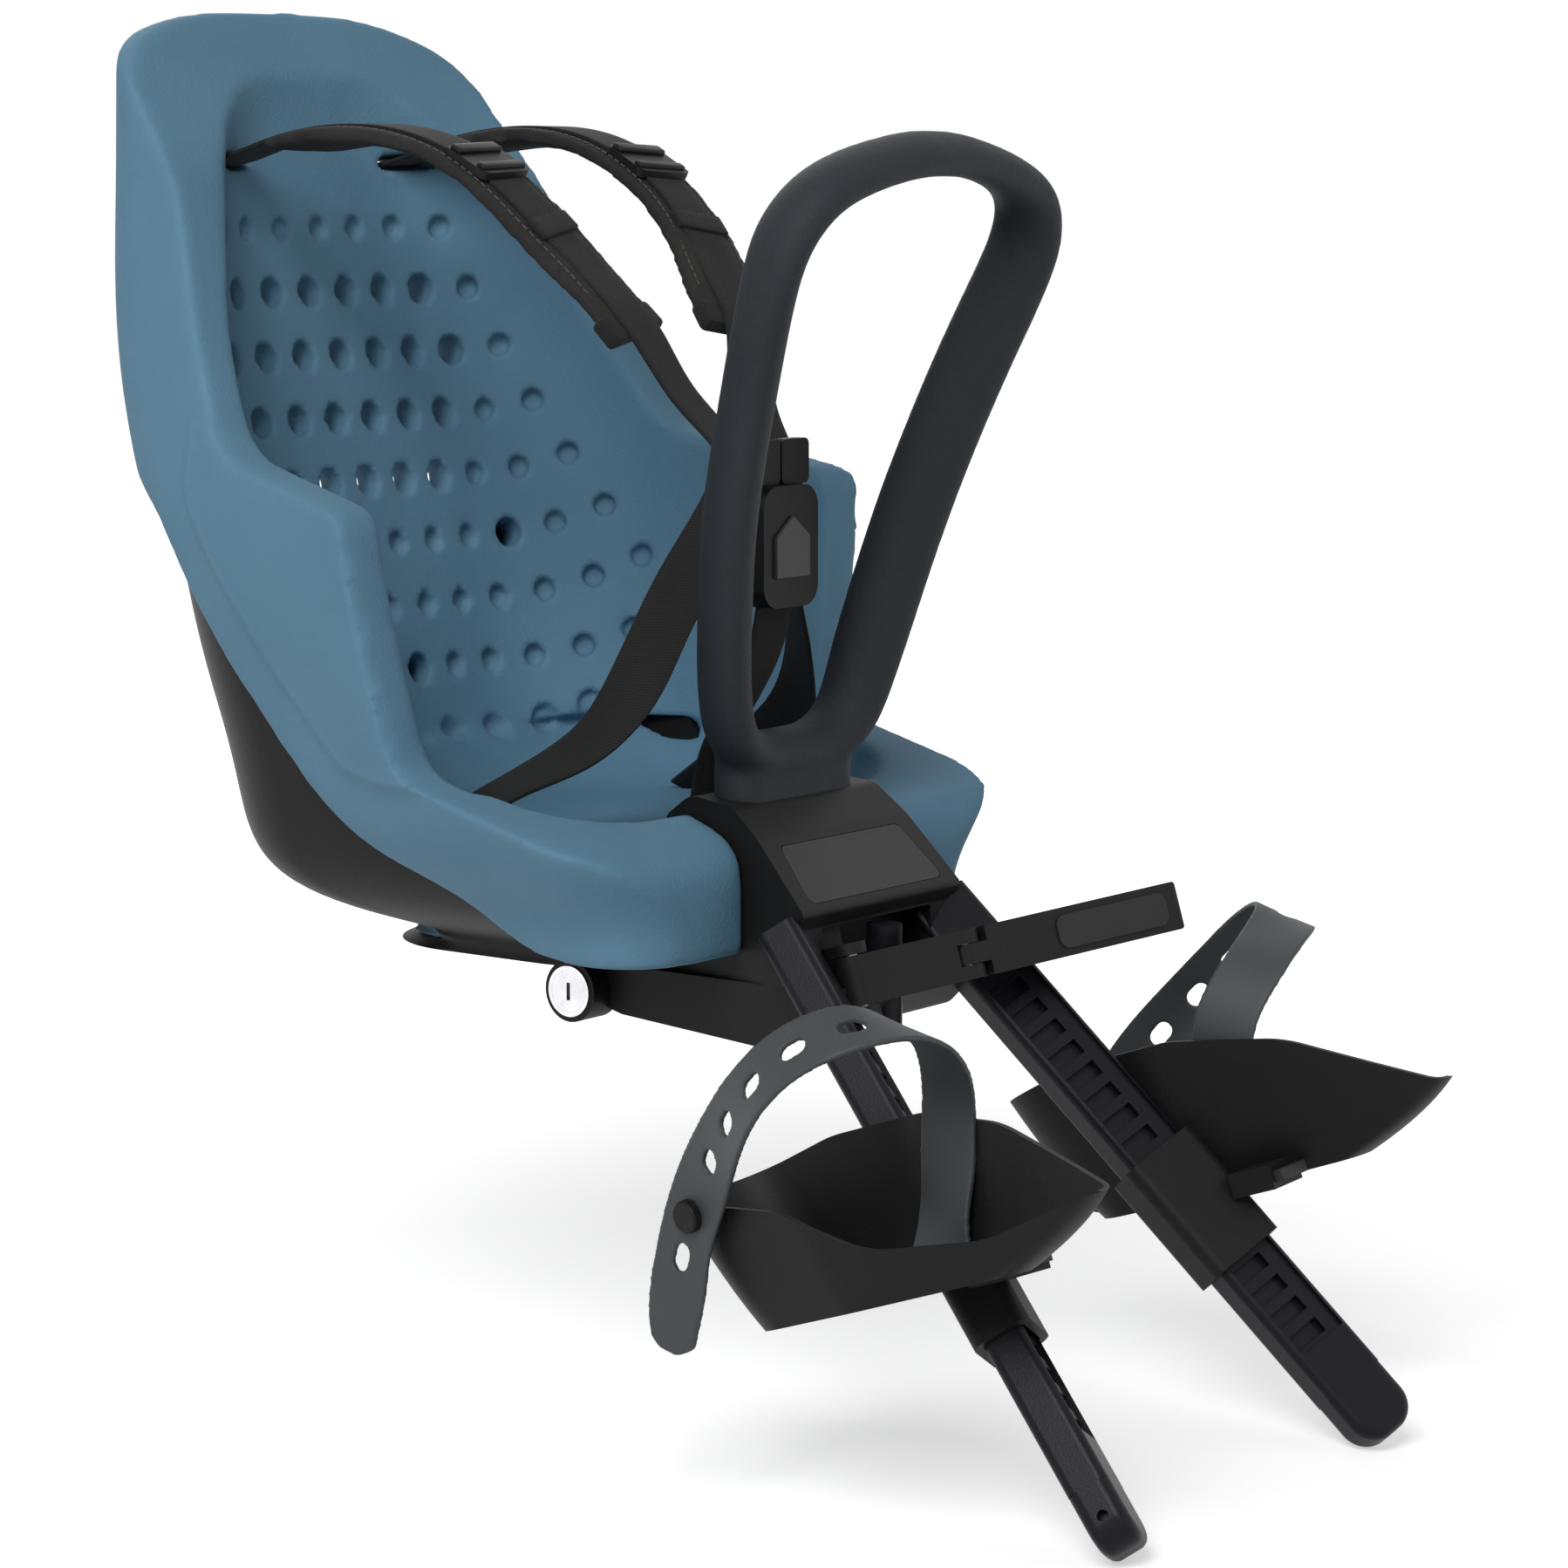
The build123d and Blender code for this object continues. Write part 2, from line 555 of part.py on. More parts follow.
def make_cup(strap, stud):
    """Right foot cup with the sleeve that slides on the rail and the guide of the latch."""
    wide = 2 * CUP_LEVELS[-1][1][1][1]
    inside = cup_tub(CUP_WALL)
    tub = cup_tub(0) - inside
    tub = tub - cup_cutter(CUP_OUTER_LINE, 0, wide) - cup_cutter(CUP_INNER_LINE, -wide, 0)
    middle = (CUP_CENTRE - RAIL_TOP).dot(RAIL.z_dir)
    outline = RectangleRounded(RAIL_WIDTH + 2 * SLEEVE_WALL, RAIL_THICK + 2 * SLEEVE_WALL, SLEEVE_ROUND)
    sleeve = RAIL * Pos(0, 0, middle - SLEEVE_LENGTH / 2) * extrude(outline, SLEEVE_LENGTH)
    mouth = LATCH_PLACE.Y + LATCH_SIZE[1] / 2 - LATCH_PROUD
    slot_end = LATCH_PLACE.Y - LATCH_SIZE[1] / 2 - LATCH_TRAVEL - LATCH_CLEAR
    guide = latch_box(GUIDE_WALL, slot_end - GUIDE_WALL, mouth)
    slot = latch_box(LATCH_CLEAR, slot_end, mouth + LATCH_SIZE[1])
    room = rail_prism(RAIL_CLEAR, -RAIL_LENGTH, 2 * RAIL_LENGTH)
    return CUP * (tub + (guide - inside)) + (sleeve - CUP * inside) - CUP * slot - room - strap - stud


def strap_plane(index):
    """Plane on the foot strap at a station: x along the strap, z out of its outer face."""
    places = [Vector(*place) for place, _ in FOOT_STRAP]
    along = (places[index + 1] - places[index - 1]).normalized()
    return Plane(origin=places[index], x_dir=along, z_dir=across(Vector(*FOOT_STRAP[index][1]), along))


def foot_strap():
    """Rubber strap from the stud, over the foot and into the cup."""
    solid = band(FOOT_STRAP, STRAP_WIDTH, STRAP_THICK)
    hole = extrude(SlotOverall(STRAP_HOLE[1], STRAP_HOLE[0]), 4 * STRAP_THICK, both=True)
    return CUP * (solid - [strap_plane(index) * hole for index in STRAP_HOLES])


def strap_stud():
    """Stud that holds the strap on the cup's outer wall."""
    place = FOOT_STRAP[STUD_STATION][0]
    wall = place[0] - CUP_LEVELS[-1][1][0][1] + 2 * CUP_WALL
    shank = Cylinder(STUD_RADIUS, wall, align=(Align.CENTER, Align.CENTER, Align.MAX))
    lift = STRAP_THICK / 2 + STUD_GAP
    head = Cylinder(STUD_HEAD, STUD_HEAD_THICK, align=(Align.CENTER, Align.CENTER, Align.MIN))
    head = Pos(0, 0, lift) * head
    neck = Cylinder(STUD_RADIUS, lift, align=(Align.CENTER, Align.CENTER, Align.MIN))
    rim = head.edges().filter_by(GeomType.CIRCLE).sort_by(Axis.Z)[-1]
    return CUP * strap_plane(STUD_STATION) * (shank + neck + fillet(rim, STUD_HEAD_THICK / 3))


def gate_link(clearance):
    """Bar of the gate with round ends, grown by the clearance."""
    outline = SlotCenterToCenter(GATE_LENGTH, GATE_THICK + 2 * clearance)
    bar = extrude(outline, GATE_HEIGHT / 2 + clearance, both=True)
    return Pos(GATE_LENGTH / 2, 0, 0) * bar


def hinge_pin(place, radius, half_length):
    """Pin across the gate at a place along it."""
    return Pos(place, 0, 0) * Cylinder(radius, 2 * half_length)


def ear(side):
    """Hinge plate of the gate, above it or below it."""
    start = GATE_HEIGHT / 2 + PART_GAP
    plate = Pos(0, EAR_REACH / 2, 0) * Rot(0, 0, 90) * SlotCenterToCenter(EAR_REACH, GATE_THICK)
    return extrude(Pos(0, 0, side * start) * plate, side * EAR_THICK)


def upper_ear():
    """Upper hinge plate with the web that hangs it from the block."""
    start = GATE_HEIGHT / 2 + PART_GAP
    web = Pos(0, EAR_REACH, start) * Box(GATE_THICK, EAR_WEB, EAR_WEB_HEIGHT,
                                         align=(Align.CENTER, Align.CENTER, Align.MIN))
    return GATE * (ear(1) + web)


EAR_PIN_HALF = GATE_HEIGHT / 2 + PART_GAP + EAR_THICK
GATE_PIN = GATE * hinge_pin(0, PIN_RADIUS, EAR_PIN_HALF)


def make_gate(lever_pin):
    """Gate across the pocket, forked where the lever hangs."""
    fork_root = GATE_LENGTH - GATE_THICK / 2 - PART_GAP
    fork = Pos(fork_root, 0, 0) * Box(2 * GATE_THICK, 2 * GATE_THICK, KNUCKLE_HEIGHT + 2 * KNUCKLE_GAP,
                                      align=(Align.MIN, Align.CENTER, Align.CENTER))
    bore = hinge_pin(0, PIN_RADIUS + PIN_CLEAR, GATE_HEIGHT)
    return GATE * (gate_link(0) - fork - bore) - lever_pin


def lever_parts():
    """Lever with its tongue between the fork's cheeks, and the soft grip let into its face."""
    start = GATE_THICK / 2 + PART_GAP
    half = GATE_THICK / 2
    end = LEVER_LENGTH
    tongue = extrude(SlotCenterToCenter(2 * half, GATE_THICK), KNUCKLE_HEIGHT / 2, both=True)
    bore = Cylinder(PIN_RADIUS + PIN_CLEAR, 2 * GATE_HEIGHT)
    outline = Polyline((start, -half), (end, -LEVER_TIP_HALF), (end, LEVER_TIP_HALF),
                       (start, half), close=True)
    arm = extrude(make_face(outline), GATE_HEIGHT / 2, both=True)
    arm = fillet(arm.edges().group_by(Axis.X)[-1], LEVER_ROUND)
    slope = (half - LEVER_TIP_HALF) / (end - start)
    middle = (GRIP_START + GRIP_END) / 2
    origin = (middle, -half + slope * (middle - start), 0)
    face = Plane(origin=origin, x_dir=(1, slope, 0), z_dir=(slope, -1, 0))
    pad_outline = RectangleRounded(GRIP_END - GRIP_START, GRIP_HEIGHT, GRIP_ROUND)
    pad = face * Pos(0, 0, -GRIP_SINK) * extrude(pad_outline, GRIP_SINK + GRIP_PROUD)
    place = GATE * Pos(GATE_LENGTH, 0, 0)
    return place * (Pos(half, 0, 0) * tongue + arm - bore - pad), place * pad


def make_pommel(body, rails, foot):
    """Front block with the bracket pocket, the seat of its cover and the upper hinge plate."""
    pocket = Pos(0, POCKET_DEPTH, 0) * Box(2 * POCKET_HALF, 4 * POCKET_DEPTH, POCKET_HEIGHT,
                                           align=(Align.CENTER, Align.MAX, Align.MIN))
    body = body - pocket - panel_solid(PANEL_GAP) - rails - foot
    return body + upper_ear() - GATE * gate_link(PART_GAP) - GATE_PIN


def lock_rod(radius, start, end):
    """Rod across the seat on the lock's axis, on the child's right."""
    rod = Rot(0, 90, 0) * Cylinder(radius, end - start)
    return Pos(-(start + end) / 2, LOCK_Y, LOCK_Z) * rod


def make_base(rails, screws):
    """Lower housing with the lock's boss and the lower hinge plate."""
    profile = FilletPolyline(*BASE_PROFILE, radius=BASE_ROUNDS)
    body = side_prism([profile, Line(BASE_PROFILE[-1], BASE_PROFILE[0])], BASE_HALF)
    headroom = Pos(0, LOCK_Y, 0) * Box(4 * LOCK_FACE, 4 * LOCK_RADIUS, 4 * LOCK_RADIUS,
                                       align=(Align.CENTER, Align.CENTER, Align.MIN))
    boss = lock_rod(LOCK_BOSS_RADIUS, LOCK_FACE - LOCK_DEPTH, LOCK_FACE) - headroom
    bore = lock_rod(LOCK_RADIUS + COLLAR_WALL, LOCK_FACE - LOCK_DEPTH, LOCK_FACE + LOCK_DEPTH)
    body = body + boss - bore - rails - screws - post_shank()
    return body - GATE * gate_link(PART_GAP) + GATE * ear(-1) - GATE_PIN


def make_lock():
    """Collar in the boss and the key cylinder that turns in it."""
    start, end = LOCK_FACE - LOCK_DEPTH, LOCK_FACE + LOCK_PROUD
    collar = lock_rod(LOCK_RADIUS + COLLAR_WALL, start, end) - lock_rod(LOCK_RADIUS, start - 1, end + 1)
    key = Pos(-end, LOCK_Y, LOCK_Z) * Box(2 * KEY_SLOT[2], KEY_SLOT[0], KEY_SLOT[1])
    return collar, lock_rod(LOCK_RADIUS - LOCK_CLEAR, start + PART_GAP, end) - key


def post_shank():
    """Room of the bushing below the pocket's floor."""
    shank = Cylinder(POST_RADIUS, POST_SHANK, align=(Align.CENTER, Align.CENTER, Align.MIN))
    return Pos(0, 0, -POST_SHANK) * shank


def make_post():
    """Bushing of the mount: a post in the pocket, a flange on its floor and a shank through the housing."""
    low = (Align.CENTER, Align.CENTER, Align.MIN)
    post = Cylinder(POST_RADIUS, POST_HEIGHT, align=low) + Cylinder(POST_FLANGE, FLANGE_THICK, align=low)
    bore = Pos(0, 0, -POST_SHANK) * Cylinder(POST_BORE, POST_SHANK + POST_HEIGHT - FLANGE_THICK, align=low)
    return post + post_shank() - bore


def base_screws():
    """Screw heads under the lower housing."""
    (y0, z0), (y1, z1) = BASE_PROFILE[3], BASE_PROFILE[4]
    heads = []
    for x, y in BASE_SCREW_PLACES:
        z = z0 + (z1 - z0) * (y - y0) / (y1 - y0) - SCREW_PROUD
        head = Cylinder(SCREW_RADIUS, SCREW_LENGTH, align=(Align.CENTER, Align.CENTER, Align.MIN))
        heads.append(Pos(x, y, z) * head)
    return Compound(children=heads)


def lifted(stations, lift):
    """The stations moved out along the way that the strip's face looks."""
    moved = []
    for index, (place, look) in enumerate(stations):
        before = Vector(*stations[max(index - 1, 0)][0])
        after = Vector(*stations[min(index + 1, len(stations) - 1)][0])
        way = across(Vector(*look), (after - before).normalized())
        spot = Vector(*place) + way * lift
        moved.append(((spot.X, spot.Y, spot.Z), look))
    return moved


def strap_slot(inner, end, clearance):
    """Straight slot in the foam round the end of a strap, along its last two stations."""
    place, look = end
    along = (Vector(*place) - Vector(*inner[0])).normalized()
    way = across(Vector(*look), along)
    plane = Plane(origin=place, x_dir=way.cross(along), z_dir=along)
    outline = Rectangle(WEB_WIDTH + 2 * clearance, WEB_THICK + 2 * clearance)
    return extrude(plane * outline, clearance) + extrude(plane * outline, -SLOT_REACH)


def strap_slots():
    """Slots of all straps in the foam."""
    back = strap_slot(STRAP_ENTRY, STRAP_BACK, SLOT_CLEAR)
    hip = strap_slot(*LAP_LINE[-2:], SLOT_CLEAR)
    return [back, mirrored(back), hip, mirrored(hip), strap_slot(*CROTCH_LINE[-2:], CROTCH_SLOT_CLEAR)]


def shoulder_strap():
    """Webbing from behind the back, over the pad and down to the buckle."""
    on_pad = lifted(PAD_LINE, (PAD_THICK + WEB_THICK) / 2 + WEB_LIFT)
    return band((STRAP_BACK, STRAP_ENTRY, *on_pad, *STRAP_FALL), WEB_WIDTH, WEB_THICK)


def pad_adjuster(strap):
    """Slide frame that rides on the webbing over the pad."""
    place, look = lifted(PAD_LINE, (PAD_THICK + ADJUSTER_SIZE[2]) / 2 + WEB_LIFT)[ADJUSTER_STATION]
    ahead, behind = PAD_LINE[ADJUSTER_STATION + 1][0], PAD_LINE[ADJUSTER_STATION - 1][0]
    along = (Vector(*ahead) - Vector(*behind)).normalized()
    normal = across(Vector(*look), along)
    plane = Plane(origin=place, x_dir=normal.cross(along), z_dir=normal)
    width, length, thick = ADJUSTER_SIZE
    frame = extrude(RectangleRounded(width, length, ADJUSTER_BAR), thick / 2, both=True)
    return plane * frame - strap


def buckle_parts(straps):
    """Buckle with its pentagon button, and the tongue of the right side."""
    outline = RectangleRounded(BUCKLE_WIDTH, BUCKLE_HEIGHT, BUCKLE_EDGE * 2)
    housing = extrude(outline, BUCKLE_THICK / 2, both=True)
    half, low = BUTTON_WIDTH / 2, -BUTTON_HEIGHT / 2
    corners = ((-half, low), (half, low), (half, -low / 3), (0, -low), (-half, -low / 3))
    outline = make_face(Polyline(*corners, close=True))
    front = BUCKLE_THICK / 2
    seat = front - BUTTON_THICK + BUTTON_PROUD
    button = Pos(0, 0, seat) * extrude(outline, BUTTON_THICK)
    well = Pos(0, 0, seat - BUTTON_TRAVEL - BUTTON_GAP) * extrude(offset(outline, BUTTON_GAP), BUCKLE_THICK)
    place = Plane(origin=BUCKLE_CENTRE, x_dir=(1, 0, 0), z_dir=(0, -1, 0))
    top = BUCKLE_CENTRE + Vector(-TONGUE_SPREAD, 0, BUCKLE_HEIGHT / 2)
    plate = Pos(*(top + Vector(0, 0, TONGUE_PLATE[2] / 2 + TONGUE_CLEAR))) * Box(*TONGUE_PLATE)
    blade = Pos(*(top - Vector(0, 0, TONGUE_BLADE[2] / 2 - TONGUE_CLEAR))) * Box(*TONGUE_BLADE)
    width, thick, height = TONGUE_BLADE
    slot = Pos(*(top - Vector(0, 0, height / 2))) * Box(
        width + 2 * TONGUE_CLEAR, thick + 2 * TONGUE_CLEAR, height + 2 * TONGUE_CLEAR)
    tongue = fillet(plate.edges().filter_by(Axis.Y), TONGUE_PLATE[1] / 2) + blade
    housing = place * (housing - well) - slot - mirrored(slot) - straps
    return housing, place * button, tongue - straps


def node(name, solid):
    """Write one piece of the seat."""
    print(name, solid.is_valid, len(solid.solids()), round(solid.volume))
    export_step(solid, f"parts/{name}.step")


def both_sides(name, solid):
    """Write a piece of the right side and its twin of the left."""
    node(f"{name}_right", solid)
    node(f"{name}_left", mirrored(solid))


above, below = foam_regions()
hull_inside = tray_hull(TRAY_WALL)
body = pommel_body()
foot = loop_foot()
rail_room = rail_prism(0, RAIL_START, RAIL_LENGTH)
rails = [rail_room, mirrored(rail_room)]
screws = base_screws()
pad = band(PAD_LINE, PAD_WIDTH, PAD_THICK)
shoulder = shoulder_strap()
lap = band(LAP_LINE, WEB_WIDTH, WEB_THICK)
crotch = band(CROTCH_LINE, WEB_WIDTH, WEB_THICK)
straps = [shoulder, mirrored(shoulder), lap, mirrored(lap), crotch]

node("seat_shell", make_shell(above, below, hull_inside) - body - strap_slots())
node("support_tray", make_tray(below, hull_inside) - body)
node("front_pommel", make_pommel(body, rails, foot))
node("pommel_panel", panel_solid(0))
node("handle_loop", make_loop())
node("base_housing", make_base(rails, screws))
node("base_screws", screws)
node("mount_post", make_post())
collar, cylinder = make_lock()
node("lock_collar", collar)
node("lock_cylinder", cylinder)

lever_pin = GATE * hinge_pin(GATE_LENGTH, PIN_RADIUS, GATE_HEIGHT / 2)
lever, grip = lever_parts()
node("gate_pin", GATE_PIN)
node("gate_jaw", make_gate(lever_pin))
node("lever_pin", lever_pin)
node("lever_arm", lever)
node("lever_grip", grip)

both_sides("rail", make_rail())
both_sides("rail_cap", make_cap())
foot_band = foot_strap()
stud = strap_stud()
both_sides("foot_strap", foot_band)
both_sides("strap_stud", stud)
both_sides("foot_cup", make_cup(foot_band, stud))
both_sides("footrest_latch", make_latch())

housing, button, tongue = buckle_parts(straps)
both_sides("shoulder_pad", pad)
both_sides("shoulder_strap", shoulder)
both_sides("pad_adjuster", pad_adjuster(shoulder))
both_sides("lap_strap", lap - shoulder)
node("crotch_strap", crotch)
node("buckle_housing", housing)
node("buckle_button", button)
both_sides("buckle_tongue", tongue)
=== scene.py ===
# %% [markdown]
# # A front child seat for a bicycle
# The seat is a blue foam bucket in a black tray, with a grab loop, a harness, a clamp and two sliding
# foot cups. The hard parts come from the CAD model, which is the frame here and stays where it is.
# The soft parts, such as foam, webbing and rubber, are made new over their solids.

# %% Load the frame
import json
import math

import bpy
import numpy as np
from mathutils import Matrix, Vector
from mathutils.kdtree import KDTree


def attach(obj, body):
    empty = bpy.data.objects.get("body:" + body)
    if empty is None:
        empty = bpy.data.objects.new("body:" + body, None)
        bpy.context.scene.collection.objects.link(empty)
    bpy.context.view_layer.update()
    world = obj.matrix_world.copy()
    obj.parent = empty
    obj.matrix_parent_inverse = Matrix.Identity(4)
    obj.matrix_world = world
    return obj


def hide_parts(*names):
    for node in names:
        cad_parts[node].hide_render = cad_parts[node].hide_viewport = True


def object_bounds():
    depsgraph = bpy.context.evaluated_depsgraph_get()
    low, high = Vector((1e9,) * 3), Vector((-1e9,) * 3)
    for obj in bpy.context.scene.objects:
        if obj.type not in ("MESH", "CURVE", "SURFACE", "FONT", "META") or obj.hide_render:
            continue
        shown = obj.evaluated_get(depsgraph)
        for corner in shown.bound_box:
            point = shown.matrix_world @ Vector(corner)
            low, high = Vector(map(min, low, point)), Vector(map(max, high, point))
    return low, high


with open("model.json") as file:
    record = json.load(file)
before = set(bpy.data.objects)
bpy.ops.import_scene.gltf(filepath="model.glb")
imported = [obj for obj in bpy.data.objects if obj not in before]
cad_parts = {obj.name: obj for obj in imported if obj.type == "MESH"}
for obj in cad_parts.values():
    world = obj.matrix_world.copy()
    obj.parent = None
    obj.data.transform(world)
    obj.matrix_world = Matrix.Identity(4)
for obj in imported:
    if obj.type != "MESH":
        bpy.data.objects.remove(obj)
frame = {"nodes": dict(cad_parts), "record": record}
cad_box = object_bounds()
# Sizes of the seat are written in millimetres, and MM turns them into metres
MM = 0.001
print("CAD nodes:", len(frame["nodes"]), "box:", cad_box)

# %% [markdown]
# ## Camera
# The photograph looks at the seat from its right front, a little from above, through a long lens.
# Its place was worked out from pairs of points that the left and right sides share. A camera that
# tracks a direction is easier to read than three angles, so the look is given as a vector.

# %% Camera
CAMERA_PLACE = Vector((-1582.3, -1133.7, 348.8)) * MM
CAMERA_LOOK = Vector((0.7921, 0.5953, -0.1348))
CAMERA_LENS = 102.72
SENSOR_WIDTH = 36.0
bpy.ops.object.select_all(action="DESELECT")
bpy.ops.object.camera_add(location=CAMERA_PLACE)
camera = bpy.context.object
camera.name = "photo_camera"
camera.rotation_euler = CAMERA_LOOK.to_track_quat("-Z", "Y").to_euler()
camera.data.lens = CAMERA_LENS
camera.data.sensor_width = SENSOR_WIDTH
bpy.context.scene.camera = camera
print("camera lens", camera.data.lens)

# %% [markdown]
# ## Light and floor
# The picture is a plain studio one: a large soft lamp on the left, weaker ones in front and behind,
# and pale surroundings. The white comes from what the camera sees of the floor and the world, not from
# more light on the seat, so the colours stay as they are written. The floor's glow grows away from the
# seat, so the far floor is white and the shadow stays.

# %% Light and floor
# Each lamp has its place and size in metres and its power in watts
LAMPS = {
    "key": ((-2.1, -0.7, 1.9), 1.5, 58.0),
    "fill": ((0.9, -2.3, 1.1), 2.2, 7.0),
    "rim": ((1.2, 1.9, 1.7), 1.6, 15.0),
}
AMBIENT = 0.12
AIM = Vector((0.0, 0.08, 0.1))


def soft_lamp(name, place, size, power):
    """Square area lamp that looks at the seat."""
    bpy.ops.object.light_add(type="AREA", location=place)
    lamp = bpy.context.object
    lamp.name = name
    lamp.data.size = size
    lamp.data.energy = power
    lamp.rotation_euler = (AIM - Vector(place)).to_track_quat("-Z", "Y").to_euler()


for lamp_name, lamp_facts in LAMPS.items():
    soft_lamp(lamp_name, *lamp_facts)


def link(tree, source, output, target, entry):
    """Join an output of one node to an input of another."""
    tree.links.new(source.outputs[output], target.inputs[entry])


def math_node(tree, operation, second=None):
    """Math node, with its second number where that isn't linked."""
    made = tree.nodes.new("ShaderNodeMath")
    made.operation = operation
    if second is not None:
        made.inputs[1].default_value = second
    return made


def seen_mask(tree):
    """One for what the camera, a mirror or a glass sees, and zero for light on other surfaces."""
    path = tree.nodes.new("ShaderNodeLightPath")
    glossy = math_node(tree, "MAXIMUM")
    clear = math_node(tree, "MAXIMUM")
    link(tree, path, "Is Camera Ray", glossy, 0)
    link(tree, path, "Is Glossy Ray", glossy, 1)
    link(tree, glossy, 0, clear, 0)
    link(tree, path, "Is Transmission Ray", clear, 1)
    return clear


world = bpy.data.worlds.new("studio")
bpy.context.scene.world = world
world.use_nodes = True
air = world.node_tree
background = air.nodes["Background"]
background.inputs["Color"].default_value = (1, 1, 1, 1)
level = air.nodes.new("ShaderNodeMapRange")
level.inputs["To Min"].default_value = AMBIENT
level.inputs["To Max"].default_value = 1.0
link(air, seen_mask(air), 0, level, "Value")
link(air, level, 0, background, "Strength")

FLOOR_SIZE = 14.0
FLOOR_DROP = 0.0006
FLOOR_TONE = (0.9, 0.9, 0.9, 1)
FLOOR_ROUGHNESS = 0.9
FLOOR_GLOW = (0.5, 1.0)
FLOOR_REACH = (0.45, 1.5)
bpy.ops.mesh.primitive_plane_add(size=FLOOR_SIZE, location=(0, 0, cad_box[0][2] - FLOOR_DROP))
floor = bpy.context.object
floor.name = "floor"
floor_paint = bpy.data.materials.new("floor_paint")
floor_paint.use_nodes = True
ground = floor_paint.node_tree
floor_shader = ground.nodes["Principled BSDF"]
floor_shader.inputs["Base Color"].default_value = FLOOR_TONE
floor_shader.inputs["Roughness"].default_value = FLOOR_ROUGHNESS
floor_shader.inputs["Emission Color"].default_value = (1, 1, 1, 1)
floor_place = ground.nodes.new("ShaderNodeTexCoord")
distance = ground.nodes.new("ShaderNodeVectorMath")
distance.operation = "LENGTH"
link(ground, floor_place, "Object", distance, 0)
fade = ground.nodes.new("ShaderNodeMapRange")
for label, value in zip(("From Min", "From Max", "To Min", "To Max"), (*FLOOR_REACH, *FLOOR_GLOW)):
    fade.inputs[label].default_value = value
link(ground, distance, "Value", fade, "Value")
glow = math_node(ground, "MULTIPLY")
link(ground, seen_mask(ground), 0, glow, 0)
link(ground, fade, 0, glow, 1)
link(ground, glow, 0, floor_shader, "Emission Strength")
floor.data.materials.append(floor_paint)
bpy.context.scene.view_settings.view_transform = "Standard"
print("lamps:", len(LAMPS), "floor at", round(cad_box[0][2], 4))

# %% [markdown]
# ## Shared surface effects
# Every moulding has a fine grain and a slow drift of tone, and webbing has a weave. Each effect is
# made once as a node group with named sockets, and each finish gives it its own values. The groups put
# out colours, masks and heights only, and the shader stays in the material.

# %% Node group for a fine grain
PEBBLE_SMOOTHNESS = 0.6
SPECKLE_DETAIL = 3.0
SPECKLE_SHARE = 0.5


def new_group(name, entries, exits):
    """Empty shader group with sockets of the given kinds."""
    group = bpy.data.node_groups.new(name, "ShaderNodeTree")
    for label, kind, value in entries:
        socket = group.interface.new_socket(name=label, in_out="INPUT", socket_type=kind)
        if value is not None:
            socket.default_value = value
    for label, kind in exits:
        group.interface.new_socket(name=label, in_out="OUTPUT", socket_type=kind)
    return group, group.nodes.new("NodeGroupInput"), group.nodes.new("NodeGroupOutput")


grain_group, grain_in, grain_out = new_group(
    "moulded_grain",
    [("Vector", "NodeSocketVector", None), ("Scale", "NodeSocketFloat", 900.0)],
    [("Height", "NodeSocketFloat"), ("Mask", "NodeSocketFloat")],
)
pebbles = grain_group.nodes.new("ShaderNodeTexVoronoi")
pebbles.feature = "SMOOTH_F1"
pebbles.inputs["Smoothness"].default_value = PEBBLE_SMOOTHNESS
speckle = grain_group.nodes.new("ShaderNodeTexNoise")
speckle.inputs["Detail"].default_value = SPECKLE_DETAIL
link(grain_group, grain_in, "Vector", pebbles, "Vector")
link(grain_group, grain_in, "Scale", pebbles, "Scale")
link(grain_group, grain_in, "Vector", speckle, "Vector")
link(grain_group, grain_in, "Scale", speckle, "Scale")
both_grains = math_node(grain_group, "MULTIPLY_ADD", second=SPECKLE_SHARE)
link(grain_group, speckle, "Fac", both_grains, 0)
link(grain_group, pebbles, "Distance", both_grains, 2)
link(grain_group, both_grains, 0, grain_out, "Height")
link(grain_group, speckle, "Fac", grain_out, "Mask")
print("group:", grain_group.name)

# %% Node group for a slow drift of tone
CLOUD_DETAIL = 6.0
CLOUD_ROUGHNESS = 0.62
CLOUD_SPREAD = (0.34, 0.66)
# The Mix node has sockets of one name for each kind of data, so those for colour go by number
MIX_FACTOR, MIX_FIRST, MIX_SECOND, MIX_RESULT = 0, 6, 7, 2
drift_group, drift_in, drift_out = new_group(
    "tone_drift",
    [("Vector", "NodeSocketVector", None), ("Dark", "NodeSocketColor", None),
     ("Light", "NodeSocketColor", None), ("Scale", "NodeSocketFloat", 9.0)],
    [("Color", "NodeSocketColor"), ("Mask", "NodeSocketFloat")],
)
cloud = drift_group.nodes.new("ShaderNodeTexNoise")
cloud.inputs["Detail"].default_value = CLOUD_DETAIL
cloud.inputs["Roughness"].default_value = CLOUD_ROUGHNESS
spread = drift_group.nodes.new("ShaderNodeMapRange")
spread.inputs["From Min"].default_value = CLOUD_SPREAD[0]
spread.inputs["From Max"].default_value = CLOUD_SPREAD[1]
tone = drift_group.nodes.new("ShaderNodeMix")
tone.data_type = "RGBA"
link(drift_group, drift_in, "Vector", cloud, "Vector")
link(drift_group, drift_in, "Scale", cloud, "Scale")
link(drift_group, cloud, "Fac", spread, "Value")
link(drift_group, spread, 0, tone, MIX_FACTOR)
link(drift_group, drift_in, "Dark", tone, MIX_FIRST)
link(drift_group, drift_in, "Light", tone, MIX_SECOND)
link(drift_group, tone, MIX_RESULT, drift_out, "Color")
link(drift_group, spread, 0, drift_out, "Mask")
print("group:", drift_group.name)

